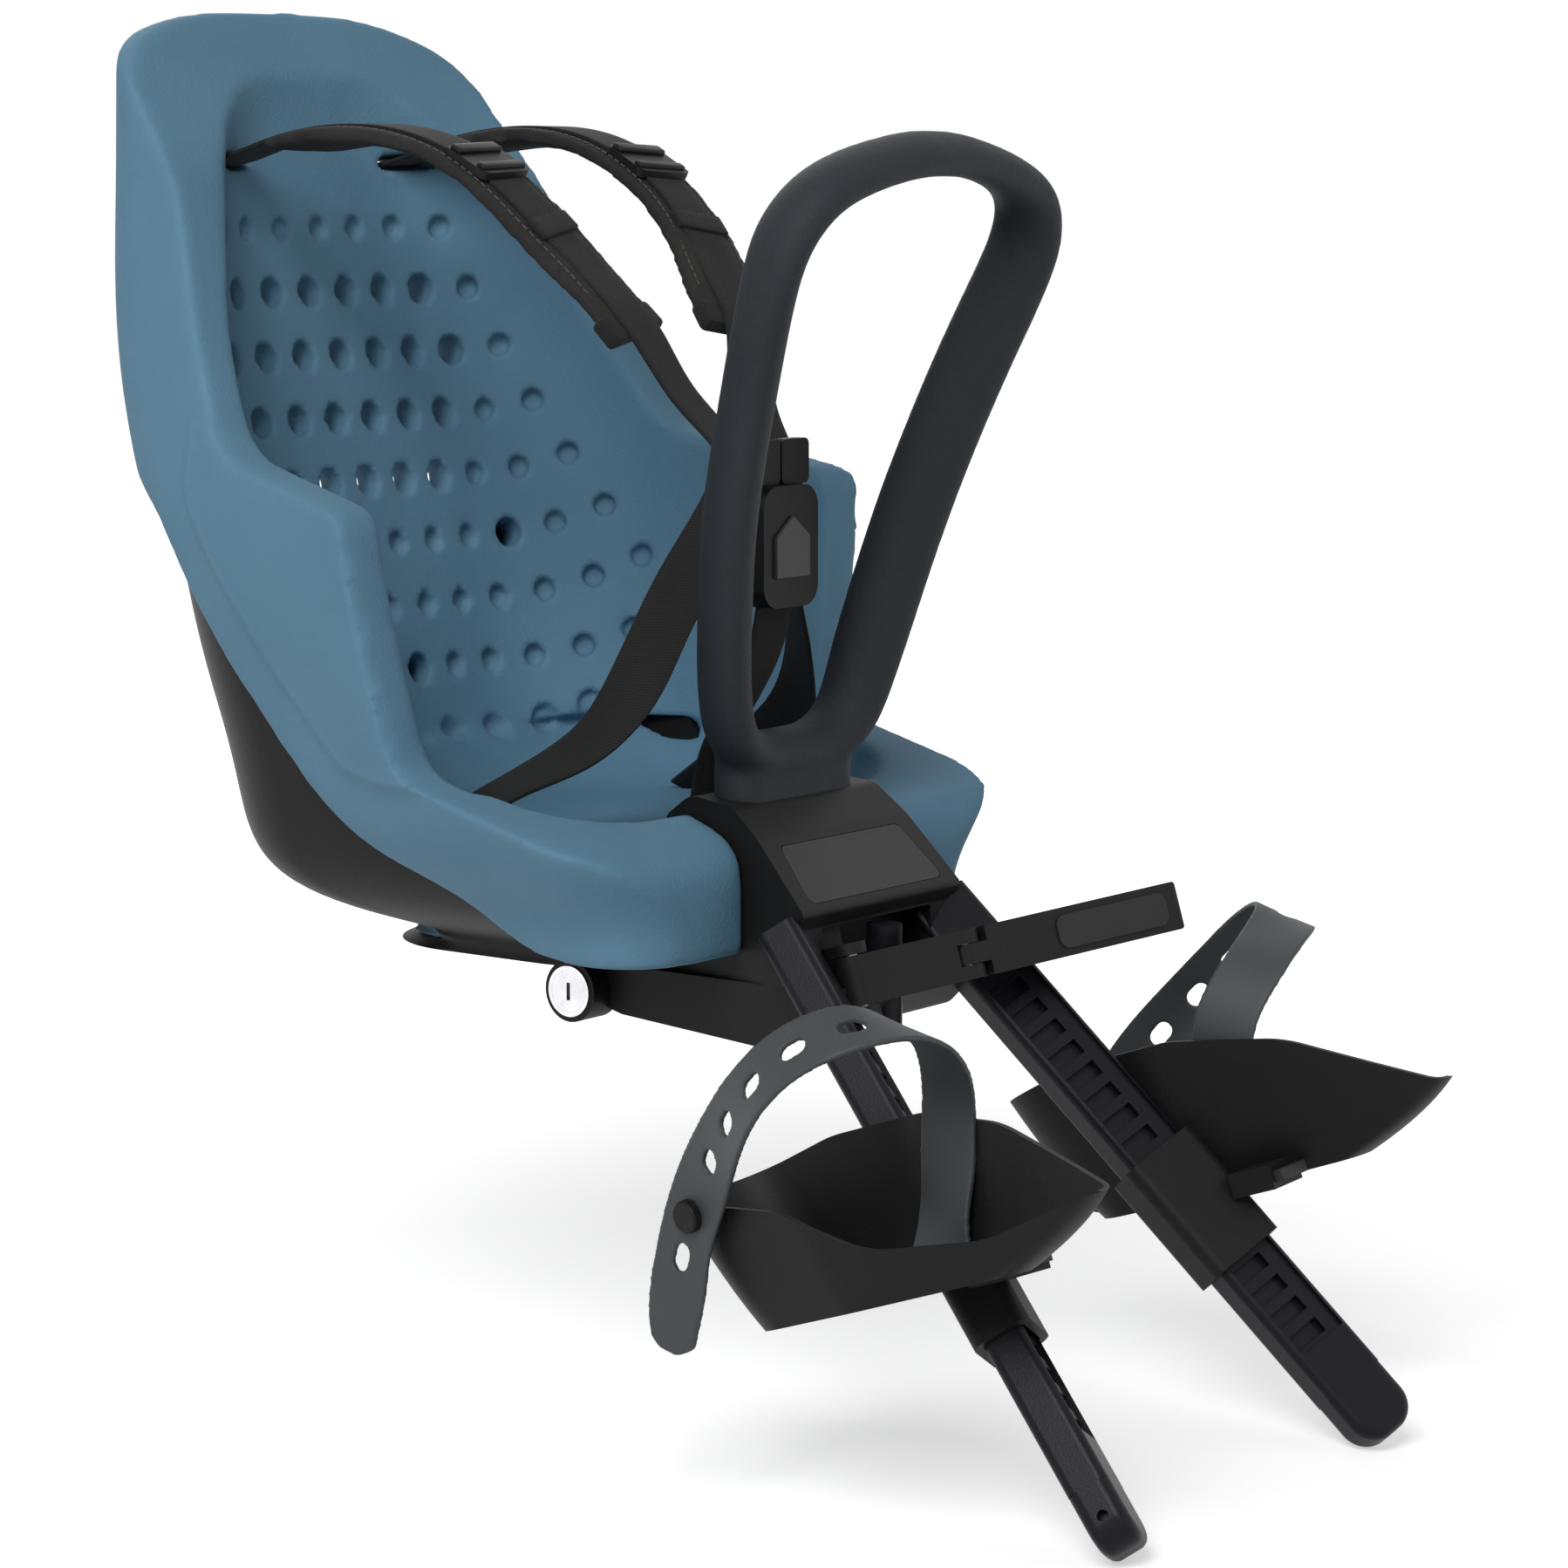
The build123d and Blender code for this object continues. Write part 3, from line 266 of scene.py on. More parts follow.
# %% Node group for a weave on a strap's own map
weave_group, weave_in, weave_out = new_group(
    "strap_weave",
    [("Vector", "NodeSocketVector", None), ("Warp", "NodeSocketFloat", 1.2),
     ("Weft", "NodeSocketFloat", 1.6)],
    [("Height", "NodeSocketFloat"), ("Mask", "NodeSocketFloat")],
)
FULL_TURN = 2 * math.pi
THREAD_LEAN = 0.5
WARP_SHARE = 0.5
split = weave_group.nodes.new("ShaderNodeSeparateXYZ")
link(weave_group, weave_in, "Vector", split, 0)
threads = []
for axis, pitch in (("X", "Warp"), ("Y", "Weft")):
    millimetres = math_node(weave_group, "DIVIDE")
    link(weave_group, split, axis, millimetres, 0)
    link(weave_group, weave_in, pitch, millimetres, 1)
    turns = math_node(weave_group, "MULTIPLY", second=FULL_TURN / MM)
    link(weave_group, millimetres, 0, turns, 0)
    threads.append(turns)
cross = math_node(weave_group, "SINE")
link(weave_group, threads[0], 0, cross, 0)
lean = math_node(weave_group, "MULTIPLY", second=THREAD_LEAN)
link(weave_group, threads[0], 0, lean, 0)
slanted = math_node(weave_group, "ADD")
link(weave_group, threads[1], 0, slanted, 0)
link(weave_group, lean, 0, slanted, 1)
rib = math_node(weave_group, "SINE")
link(weave_group, slanted, 0, rib, 0)
woven = math_node(weave_group, "MULTIPLY_ADD", second=WARP_SHARE)
link(weave_group, cross, 0, woven, 0)
link(weave_group, rib, 0, woven, 2)
raised = weave_group.nodes.new("ShaderNodeMapRange")
raised.inputs["From Min"].default_value = -1 - WARP_SHARE
raised.inputs["From Max"].default_value = 1 + WARP_SHARE
link(weave_group, woven, 0, raised, "Value")
# The height is also the mask, which the webbing's colour uses as painted shade where the threads lie
# low
link(weave_group, raised, 0, weave_out, "Height")
link(weave_group, raised, 0, weave_out, "Mask")
print("group:", weave_group.name)

# %% [markdown]
# ## Finishes
# A finish is a Principled shader with a drift of tone on its colour, a grain on its roughness and a
# bump. Moulded pieces read Object coordinates, because every piece sits at the origin with its place
# in its mesh. Webbing reads its own map, so the weave follows it round its bends, and its colour is
# painted darker where the weave lies low, as painted shade between the threads.

# %% Moulded finishes
GRAIN_RELIEF = 0.3


def place_group(tree, group, **values):
    """A group node with its own values."""
    made = tree.nodes.new("ShaderNodeGroup")
    made.node_tree = group
    for label, value in values.items():
        made.inputs[label].default_value = value
    return made


def rough_range(tree, mask, low, high):
    """Roughness between two values, by a mask."""
    made = tree.nodes.new("ShaderNodeMapRange")
    made.inputs["To Min"].default_value = low
    made.inputs["To Max"].default_value = high
    link(tree, mask, "Mask", made, "Value")
    return made


def bumped(tree, height, strength, distance):
    """Bump node on a height output."""
    made = tree.nodes.new("ShaderNodeBump")
    made.inputs["Strength"].default_value = strength
    made.inputs["Distance"].default_value = distance
    link(tree, height, "Height", made, "Height")
    return made


def moulded(name, dark, light, roughness, grain_mm, bump, gloss=0.5, metallic=0.0, drift=9.0):
    """Finish of a moulding: two near tones, a range of roughness and a grain of one size."""
    paint = bpy.data.materials.new(name)
    paint.use_nodes = True
    tree = paint.node_tree
    shader = tree.nodes["Principled BSDF"]
    shader.inputs["Metallic"].default_value = metallic
    shader.inputs["Specular IOR Level"].default_value = gloss
    place = tree.nodes.new("ShaderNodeTexCoord")
    tones = place_group(tree, drift_group, Dark=(*dark, 1), Light=(*light, 1), Scale=drift)
    grain = place_group(tree, grain_group, Scale=1 / (grain_mm * MM))
    link(tree, place, "Object", tones, "Vector")
    link(tree, place, "Object", grain, "Vector")
    link(tree, tones, "Color", shader, "Base Color")
    rough = rough_range(tree, grain, *roughness)
    link(tree, rough, 0, shader, "Roughness")
    relief = bumped(tree, grain, bump, grain_mm * MM * GRAIN_RELIEF)
    link(tree, relief, "Normal", shader, "Normal")
    paint.diffuse_color = (*light, 1)
    return paint


FINISHES = {
    "foam": moulded(
        "foam_blue", dark=(0.1, 0.218, 0.318), light=(0.117, 0.248, 0.355),
        roughness=(0.62, 0.8), grain_mm=1.5, bump=0.35, gloss=0.3),
    "shell_black": moulded(
        "moulding_black", dark=(0.0075, 0.0073, 0.0072), light=(0.011, 0.0107, 0.0105),
        roughness=(0.4, 0.58), grain_mm=0.7, bump=0.3, gloss=0.16),
    "rail_black": moulded(
        "rail_black", dark=(0.0055, 0.0057, 0.0085), light=(0.0085, 0.0087, 0.0125),
        roughness=(0.3, 0.46), grain_mm=0.8, bump=0.2, gloss=0.15),
    "panel_grey": moulded(
        "panel_grey", dark=(0.018, 0.0176, 0.0172), light=(0.025, 0.0245, 0.024),
        roughness=(0.48, 0.66), grain_mm=0.6, bump=0.4, gloss=0.35),
    "grip_foam": moulded(
        "grip_foam", dark=(0.0125, 0.0155, 0.0195), light=(0.0165, 0.02, 0.025),
        roughness=(0.6, 0.78), grain_mm=1.1, bump=0.35, gloss=0.28),
    "grip_rubber": moulded(
        "grip_rubber", dark=(0.014, 0.014, 0.015), light=(0.02, 0.02, 0.021),
        roughness=(0.55, 0.72), grain_mm=0.6, bump=0.4, gloss=0.3),
    "strap_rubber": moulded(
        "strap_rubber", dark=(0.044, 0.049, 0.054), light=(0.055, 0.06, 0.065),
        roughness=(0.46, 0.6), grain_mm=0.5, bump=0.15, gloss=0.35),
    "buckle_black": moulded(
        "buckle_black", dark=(0.004, 0.004, 0.0044), light=(0.0065, 0.0065, 0.007),
        roughness=(0.34, 0.5), grain_mm=0.6, bump=0.2, gloss=0.16),
    "button_grey": moulded(
        "button_grey", dark=(0.06, 0.059, 0.058), light=(0.075, 0.074, 0.073),
        roughness=(0.45, 0.6), grain_mm=0.6, bump=0.25, gloss=0.35),
    "steel": moulded(
        "plated_steel", dark=(0.36, 0.36, 0.37), light=(0.5, 0.5, 0.51),
        roughness=(0.24, 0.42), grain_mm=0.9, bump=0.15, metallic=1.0, drift=60.0),
    "lock_metal": moulded(
        "lock_metal", dark=(0.6, 0.6, 0.62), light=(0.74, 0.74, 0.76),
        roughness=(0.14, 0.28), grain_mm=0.8, bump=0.08, metallic=1.0, drift=80.0),
}
print("moulded finishes:", len(FINISHES))


# %% Woven finish and cloth
WEB_ROUGHNESS = 0.85
WEB_GLOSS = 0.2
WEB_SHEEN = 0.06
WEB_SHEEN_ROUGHNESS = 0.5
WEB_RELIEF = 0.4


def woven_finish(name, dark, light, warp, weft, bump):
    """Finish of webbing whose threads follow the piece's own map, with painted shade between them."""
    paint = bpy.data.materials.new(name)
    paint.use_nodes = True
    tree = paint.node_tree
    shader = tree.nodes["Principled BSDF"]
    shader.inputs["Roughness"].default_value = WEB_ROUGHNESS
    shader.inputs["Specular IOR Level"].default_value = WEB_GLOSS
    shader.inputs["Sheen Weight"].default_value = WEB_SHEEN
    shader.inputs["Sheen Roughness"].default_value = WEB_SHEEN_ROUGHNESS
    place = tree.nodes.new("ShaderNodeUVMap")
    place.uv_map = "threads"
    weave = place_group(tree, weave_group, Warp=warp, Weft=weft)
    link(tree, place, "UV", weave, "Vector")
    # Painted shade: the dark tone where the weave lies low and the light tone on the raised threads
    groove_shade_mix = tree.nodes.new("ShaderNodeMix")
    groove_shade_mix.data_type = "RGBA"
    groove_shade_mix.inputs[MIX_FIRST].default_value = (*dark, 1)
    groove_shade_mix.inputs[MIX_SECOND].default_value = (*light, 1)
    link(tree, weave, "Mask", groove_shade_mix, MIX_FACTOR)
    link(tree, groove_shade_mix, MIX_RESULT, shader, "Base Color")
    relief = bumped(tree, weave, bump, WEB_RELIEF * MM)
    link(tree, relief, "Normal", shader, "Normal")
    paint.diffuse_color = (*light, 1)
    return paint


FINISHES["webbing"] = woven_finish(
    "webbing_dark", dark=(0.0075, 0.0076, 0.0078), light=(0.02, 0.0202, 0.0205),
    warp=1.5, weft=1.3, bump=0.6)
FINISHES["pad_fabric"] = moulded(
    "pad_cloth", dark=(0.02, 0.0193, 0.0187), light=(0.028, 0.027, 0.026),
    roughness=(0.78, 0.92), grain_mm=0.9, bump=0.7, gloss=0.2, drift=14.0)
FINISHES["thread"] = moulded(
    "sewing_thread", dark=(0.05, 0.048, 0.046), light=(0.07, 0.067, 0.064),
    roughness=(0.6, 0.8), grain_mm=0.4, bump=0.3)
print("finishes:", len(FINISHES))

# %% [markdown]
# ## Helpers for pieces
# Operators act on what is selected, so one helper leaves a single piece selected. Another adds a
# modifier and applies it, so that the finished mesh is what rides on its body.

# %% Helpers for pieces
WELD = 0.01
SMOOTH_FACTOR = 0.5
CRISP_ANGLE = math.radians(40)


def only(piece):
    """Leave one piece selected and active."""
    bpy.ops.object.select_all(action="DESELECT")
    piece.select_set(True)
    bpy.context.view_layer.objects.active = piece


def finish_with(piece, kind, **settings):
    """Add a modifier with its settings and apply it."""
    only(piece)
    modifier = piece.modifiers.new(kind.title(), kind)
    for label, value in settings.items():
        setattr(modifier, label, value)
    bpy.ops.object.modifier_apply(modifier=modifier.name)


def edit_all(piece):
    """Open edit mode with everything selected."""
    only(piece)
    bpy.ops.object.mode_set(mode="EDIT")
    bpy.ops.mesh.select_all(action="SELECT")


def face_out(piece):
    """Make all faces of a piece look outward."""
    edit_all(piece)
    bpy.ops.mesh.normals_make_consistent(inside=False)
    bpy.ops.object.mode_set(mode="OBJECT")


def shade(piece, angle=CRISP_ANGLE):
    """Shade a piece smooth, apart from edges sharper than the angle."""
    only(piece)
    bpy.ops.object.shade_smooth_by_angle(angle=angle)


def merged_copy(node, name):
    """A copy of a CAD node whose loose triangles are joined."""
    source = frame["nodes"][node]
    piece = bpy.data.objects.new(name, source.data.copy())
    bpy.context.scene.collection.objects.link(piece)
    piece.data.materials.clear()
    edit_all(piece)
    bpy.ops.mesh.customdata_custom_splitnormals_clear()
    bpy.ops.mesh.remove_doubles(threshold=WELD * MM)
    bpy.ops.object.mode_set(mode="OBJECT")
    return piece


def dress(piece, body, slot, finish, *nodes):
    """Give a finished piece its finish, its body and the CAD nodes that it stands for."""
    piece.data.materials.clear()
    piece.data.materials.append(FINISHES[finish])
    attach(piece, body)
    if nodes:
        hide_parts(*nodes)


def softened(node, name, voxel, rounds):
    """A CAD solid turned into a soft moulding: even small faces, then edges eased by smoothing."""
    piece = merged_copy(node, name)
    finish_with(piece, "REMESH", mode="VOXEL", voxel_size=voxel * MM, use_smooth_shade=True)
    finish_with(piece, "SMOOTH", factor=SMOOTH_FACTOR, iterations=rounds)
    return piece


# %% [markdown]
# ## Foam bucket
# The bucket is one moulding of soft foam with a grained skin. Its edges are broad and round, but the
# holes in its back are crisp. So the solid is remeshed with small even faces and smoothed twice: a
# little everywhere, then much more away from the holes. The rims of the holes are found on the CAD
# mesh as short closed runs of sharp edges, and a search tree tells which points lie near them. At last
# the panel on the outside of each wing is lifted, with a bead along the crease that the light catches,
# and the lowest row of dimples is pressed in. Decimate then drops points where the skin is flat.

# %% Foam bucket
FOAM_VOXEL = 2.0
FIRST_ROUNDS = 1
SHARP_EDGE = math.radians(40)
HOLE_SPAN = 48.0
HOLE_MARGIN = 6.0
EASE_ROUNDS = 26
FOAM_KEPT = 0.56
PANEL_RISE = 2.4
PANEL_STEP = 2.0
BEAD_RISE = 2.0
BEAD_WIDTH = 2.2
PANEL_FACING = 0.6
PANEL_INNER = 120.0
DIMPLE_RADIUS = 7.6
DIMPLE_WALL = 2.0
DIMPLE_DEPTH = 4.5
DIMPLE_REACH = 2 * DIMPLE_RADIUS
LOWER_DIMPLES = (
    (24.6, 273.3, 83.9), (55, 272.4, 82.7), (86, 268.1, 85), (104.7, 252.1, 91.5), (120.1, 233.4, 99),
)
# Corners of the wing's panel in the side view, as y and z
WING_PANEL = (
    (262, 240), (262, 232), (266, 217), (263, 203), (250, 180), (233, 159), (216, 137), (199, 118),
    (184.5, 102), (176, 93), (156, 88), (110, 88), (110, 240),
)


def hole_rims(node):
    """Points on the short runs of sharp edges of a CAD node."""
    piece = merged_copy(node, "rims")
    bpy.ops.object.mode_set(mode="EDIT")
    bpy.ops.mesh.select_mode(type="EDGE")
    bpy.ops.mesh.select_all(action="DESELECT")
    bpy.ops.mesh.edges_select_sharp(sharpness=SHARP_EDGE)
    bpy.ops.object.mode_set(mode="OBJECT")
    head = list(range(len(piece.data.vertices)))

    def root(index):
        while head[index] != index:
            head[index] = head[head[index]]
            index = head[index]
        return index

    sharp = [tuple(edge.vertices) for edge in piece.data.edges if edge.select]
    for first, second in sharp:
        head[root(first)] = root(second)
    runs = {}
    for index in {index for edge in sharp for index in edge}:
        runs.setdefault(root(index), []).append(piece.data.vertices[index].co.copy())
    bpy.data.objects.remove(piece)
    spans = {key: np.ptp(np.array(points), axis=0).max() for key, points in runs.items()}
    return [place for key, points in runs.items() if spans[key] < HOLE_SPAN * MM for place in points]


def away_from(piece, places, margin):
    """Indices of the points of a piece that lie further than the margin from all the places."""
    near = KDTree(len(places))
    for index, place in enumerate(places):
        near.insert(place, index)
    near.balance()
    return [point.index for point in piece.data.vertices if near.find(point.co)[2] > margin * MM]


rims = hole_rims("seat_shell")
foam = softened("seat_shell", "foam_bucket", FOAM_VOXEL, FIRST_ROUNDS)
skin = foam.vertex_groups.new(name="open_skin")
skin.add(away_from(foam, rims, HOLE_MARGIN), 1.0, "REPLACE")
finish_with(foam, "SMOOTH", factor=SMOOTH_FACTOR, iterations=EASE_ROUNDS, vertex_group="open_skin")
print("points on rims of holes:", len(rims))


def side_distance(place, corners):
    """Distance from a closed outline in the side view: positive inside it and negative outside."""
    nearest = math.inf
    inside = False
    for start, end in zip(corners, (*corners[1:], corners[0])):
        run = end - start
        share = min(max((place - start).dot(run) / run.length_squared, 0.0), 1.0)
        nearest = min(nearest, (place - start - run * share).length)
        if (start.y > place.y) != (end.y > place.y):
            crossing = start.x + run.x * (place.y - start.y) / run.y
            inside = inside != (place.x < crossing)
    return nearest if inside else -nearest


panel_corners = [Vector(corner) * MM for corner in WING_PANEL]
lifts = {}
for point in foam.data.vertices:
    facing = point.normal.x if point.co.x > 0 else -point.normal.x
    if facing > PANEL_FACING and abs(point.co.x) > PANEL_INNER * MM:
        depth = side_distance(Vector((point.co.y, point.co.z)), panel_corners)
        step = PANEL_RISE * MM * min(max(depth / (PANEL_STEP * MM), 0.0), 1.0)
        bead = BEAD_RISE * MM * math.exp(-(depth / (BEAD_WIDTH * MM)) ** 2)
        lifts[point.index] = step + bead
for index, lift in lifts.items():
    point = foam.data.vertices[index]
    point.co.x += math.copysign(lift, point.co.x)
print("points lifted on the wings:", len(lifts))


def dimple(piece, place):
    """Press a round dimple into a skin, square to the skin round it."""
    near = [point for point in piece.data.vertices if (point.co - place).length < DIMPLE_REACH * MM]
    way = sum((point.normal for point in near), Vector()).normalized()
    for point in near:
        shift = point.co - place
        side = (shift - way * shift.dot(way)).length
        share = min(max((DIMPLE_RADIUS * MM - side) / (DIMPLE_WALL * MM), 0.0), 1.0)
        point.co -= way * DIMPLE_DEPTH * MM * share


for x, y, z in LOWER_DIMPLES:
    for mirror in (1, -1):
        dimple(foam, Vector((x * mirror, y, z)) * MM)
print("lower dimples:", 2 * len(LOWER_DIMPLES))
finish_with(foam, "DECIMATE", ratio=FOAM_KEPT)
dress(foam, "seat", "foam", "foam", "seat_shell")
print("foam faces:", len(foam.data.polygons))

# %% [markdown]
# ## Grab loop
# The loop is a tube under a thick foam skin. The solid has the right line and oval and no holes to
# spare, so one softening is enough, and its joints with the foot melt together.

# %% Grab loop
LOOP_VOXEL = 2.2
LOOP_ROUNDS = 8
loop = softened("handle_loop", "grab_loop", LOOP_VOXEL, LOOP_ROUNDS)
dress(loop, "seat", "grip_foam", "grip_foam", "handle_loop")
print("loop faces:", len(loop.data.polygons))

# %% [markdown]
# ## Lines for the straps
# A strap is given by stations: a place on it and the way that its face looks there. A smooth line
# through the stations gives the strap's middle and its two edges.

# %% Lines for the straps
def station_rows(stations, width):
    """Middle, half width vector and look of a strip at each station, in metres."""
    places = [Vector(place) * MM for place, _ in stations]
    rows = []
    for index, (_, look) in enumerate(stations):
        before = places[max(index - 1, 0)]
        after = places[min(index + 1, len(places) - 1)]
        along = (after - before).normalized()
        way = (Vector(look) - along * Vector(look).dot(along)).normalized()
        rows.append((places[index], way.cross(along) * (width * MM / 2), way))
    return rows


def chord_lengths(points):
    """Distance along straight runs to each point."""
    runs = np.linalg.norm(np.diff(points, axis=0), axis=1)
    return np.concatenate(([0.0], np.cumsum(runs)))


def smooth_values(knots, values, places):
    """Natural cubic spline through values at the knots, read at places between them."""
    count = len(knots)
    gap = np.diff(knots)
    rows = np.zeros((count, count))
    sums = np.zeros((count, values.shape[1]))
    rows[0, 0] = rows[-1, -1] = 1.0
    for i in range(1, count - 1):
        rows[i, i - 1:i + 2] = gap[i - 1], 2 * (gap[i - 1] + gap[i]), gap[i]
        sums[i] = 6 * ((values[i + 1] - values[i]) / gap[i] - (values[i] - values[i - 1]) / gap[i - 1])
    bend = np.linalg.solve(rows, sums)
    k = np.clip(np.searchsorted(knots, places) - 1, 0, count - 2)
    wide = gap[k][:, None]
    after = (knots[k + 1] - places)[:, None]
    before = (places - knots[k])[:, None]
    return ((bend[k] * after ** 3 + bend[k + 1] * before ** 3) / (6 * wide)
            + (values[k] / wide - bend[k] * wide / 6) * after
            + (values[k + 1] / wide - bend[k + 1] * wide / 6) * before)


def strip_lines(stations, width, steps):
    """Even places along a strip: distance, middle, half width vector and look."""
    rows = station_rows(stations, width)
    middles = np.array([row[0] for row in rows])
    knots = chord_lengths(middles)
    places = np.linspace(0, knots[-1], steps)
    halves = np.array([row[1] for row in rows])
    looks = np.array([row[2] for row in rows])
    return (places, smooth_values(knots, middles, places), smooth_values(knots, halves, places),
            smooth_values(knots, looks, places))


def lifted(stations, lift):
    """The stations moved out along the way that the strip's face looks."""
    return [(tuple((row[0] + row[2] * (lift * MM)) / MM), look)
            for row, (_, look) in zip(station_rows(stations, 1.0), stations)]


def to_left(stations):
    """The same line on the child's left."""
    return [((-place[0], place[1], place[2]), (-look[0], look[1], look[2])) for place, look in stations]


# %% [markdown]
# ## Webbing
# Harness webbing is a flat woven tape. A grid primitive already has a map along and across, so it is
# laid along the strap's line, given its thickness by Solidify, and its cut edges are rounded by a
# bevel. The map is kept in metres, so that the weave has one size on every strap.

# %% Webbing
WEB_WIDTH = 25.0
WEB_THICK = 1.8
WEB_STEP = 4.0
WEB_ACROSS = 6
WEB_EDGE = 0.5
EDGE_SEGMENTS = 2
EDGE_ANGLE = math.radians(50)


def tape(name, stations, width, thick, edge=WEB_EDGE):
    """Woven tape along stations, with a map in metres and its edges rounded."""
    length = chord_lengths(np.array([Vector(place) * MM for place, _ in stations]))[-1]
    steps = int(length / (WEB_STEP * MM)) + 2
    places, middles, halves, _ = strip_lines(stations, width, steps)
    bpy.ops.object.select_all(action="DESELECT")
    bpy.ops.mesh.primitive_grid_add(
        x_subdivisions=WEB_ACROSS, y_subdivisions=steps - 1, size=1.0, calc_uvs=True)
    piece = bpy.context.object
    piece.name = name
    mesh = piece.data
    mesh.uv_layers[0].name = "threads"
    for corner in mesh.uv_layers["threads"].data:
        corner.uv = (corner.uv[0] * width * MM, corner.uv[1] * length)
    for point in mesh.vertices:
        index = round((point.co.y + 0.5) * (steps - 1))
        point.co = middles[index] + halves[index] * (2 * point.co.x)
    finish_with(piece, "SOLIDIFY", thickness=thick * MM, offset=0.0)
    face_out(piece)
    finish_with(piece, "BEVEL", width=edge * MM, segments=EDGE_SEGMENTS, limit_method="ANGLE",
                angle_limit=EDGE_ANGLE)
    shade(piece)
    return piece


PAD_THICK = 6.0
PAD_WIDTH = 42.0
WEB_LIFT = 0.3
PAD_LINE = (
    ((-61, 290, 362), (0, -0.1, 1)), ((-61, 258, 366.5), (0, 0, 1)), ((-60, 221, 365), (0, -0.3, 1)),
    ((-57, 180, 350), (0, -0.6, 0.9)), ((-54, 153, 329), (0, -0.7, 0.7)),
    ((-45, 128, 302), (0.1, -0.8, 0.5)), ((-37, 108, 278), (0.1, -0.9, 0.4)),
)
STRAP_BEHIND = (((-61, 360, 352), (0, -0.1, 1)), ((-61, 336, 354.4), (0, -0.1, 1)))
STRAP_FALL = (((-24.5, 92, 252), (0.2, -0.9, 0.4)), ((-15.5, 76, 231), (0.2, -0.9, 0.4)),
              ((-13.4, 66, 216), (0.2, -0.9, 0.4)))
LAP_LINE = (
    ((-15, 66, 218), (-0.5, -0.8, 0.3)), ((-28, 72, 194), (-0.6, -0.7, 0.4)),
    ((-40, 81, 170), (-0.6, -0.7, 0.4)), ((-52, 87, 146), (-0.6, -0.6, 0.5)),
    ((-63, 94, 122), (-0.6, -0.5, 0.6)), ((-74, 107, 102), (-0.5, -0.4, 0.8)),
    ((-84, 132, 86), (-0.4, -0.3, 0.9)), ((-92, 159, 70), (-0.4, -0.3, 0.9)),
    ((-100, 186, 54), (-0.4, -0.3, 0.9)),
)
CROTCH_LINE = (
    ((0, 60, 166), (0, -1, 0)), ((0, 66, 140), (0, -1, 0.1)), ((0, 82, 112), (0, -1, 0.2)),
    ((0, 95, 87), (0, -1, 0.1)), ((0, 99, 67), (0, -1, 0.1)), ((0, 103, 47), (0, -1, 0.1)),
)
SHOULDER_LINE = (*STRAP_BEHIND, *lifted(PAD_LINE, (PAD_THICK + WEB_THICK) / 2 + WEB_LIFT), *STRAP_FALL)
SIDES = (("right", lambda line: line), ("left", to_left))
for side, turned in SIDES:
    shoulder = tape(f"shoulder_webbing_{side}", turned(SHOULDER_LINE), WEB_WIDTH, WEB_THICK)
    dress(shoulder, "seat", "webbing", "webbing", f"shoulder_strap_{side}")
    lap = tape(f"lap_webbing_{side}", turned(LAP_LINE), WEB_WIDTH, WEB_THICK)
    dress(lap, "seat", "webbing", "webbing", f"lap_strap_{side}")
crotch = tape("crotch_webbing", CROTCH_LINE, WEB_WIDTH, WEB_THICK)
dress(crotch, "seat", "webbing", "webbing", "crotch_strap")
print("tapes: 5")

# %% [markdown]
# ## Shoulder pads
# Each pad is a flat cushion of knitted cloth that the webbing runs over. Pressure inside a cloth
# simulation crowns its faces and pulls its edges in, which is how the real one gets its form.

# %% Shoulder pads
PAD_VOXEL = 2.0
PAD_ROUNDS = 3
PAD_PRESSURE = 4.0
PAD_FRAMES = 14
PAD_CAP = 2.0


def puffed(piece, pressure, cap):
    """Swell a closed piece with cloth pressure, each point by no more than the cap."""
    start = [point.co.copy() for point in piece.data.vertices]
    only(piece)
    cloth = piece.modifiers.new("Puff", "CLOTH")
    cloth.settings.use_pressure = True
    cloth.settings.uniform_pressure_force = pressure
    cloth.settings.effector_weights.gravity = 0.0
    cloth.point_cache.frame_start = 1
    cloth.point_cache.frame_end = PAD_FRAMES
    for step in range(1, PAD_FRAMES + 1):
        bpy.context.scene.frame_set(step)
    bpy.ops.object.modifier_apply(modifier=cloth.name)
    bpy.context.scene.frame_set(1)
    for point, old in zip(piece.data.vertices, start):
        move = point.co - old
        if move.length > cap * MM:
            point.co = old + move.normalized() * cap * MM


for side, turned in SIDES:
    pad = softened(f"shoulder_pad_{side}", f"shoulder_cushion_{side}", PAD_VOXEL, PAD_ROUNDS)
    puffed(pad, PAD_PRESSURE, PAD_CAP)
    finish_with(pad, "SUBSURF", levels=1, render_levels=1)
    dress(pad, "seat", "pad_fabric", "pad_fabric", f"shoulder_pad_{side}")
    print(pad.name, len(pad.data.polygons))

# %% [markdown]
# ## Sewing on the pads
# A folded hem closes each pad at its lower end, a keeper of webbing holds the strap down behind the
# slide, and a row of stitches runs along both edges. The hem and the keeper are short tapes on a run
# of the pad's line. The stitches are one small cylinder repeated by an Array modifier, whose copies
# are then laid along the pad, with their own axis turned into the distance along it.

# %% Hems, keepers and stitches
HEM_RUN = 14.0
HEM_WIDER = 1.6
HEM_THICKER = 2.4
HEM_EDGE = 2.4
KEEPER_WIDTH = 30.0
KEEPER_RUN = 11.0
KEEPER_THICK = 2.6
KEEPER_EDGE = 0.8
KEEPER_PLACE = 150.0
KEEPER_SINK = 0.6
STITCH_LENGTH = 2.8
STITCH_RADIUS = 0.4
STITCH_SIDES = 6
STITCH_PITCH = 4.2
STITCH_SHIFT = 17.0
STITCH_LIFT = 0.5
STITCH_ENDS = (12.0, 20.0)
STITCH_ANGLE = math.radians(70)
SEWN_STATIONS = 24
SHORT_STATIONS = 5
LINE_STEPS = 400


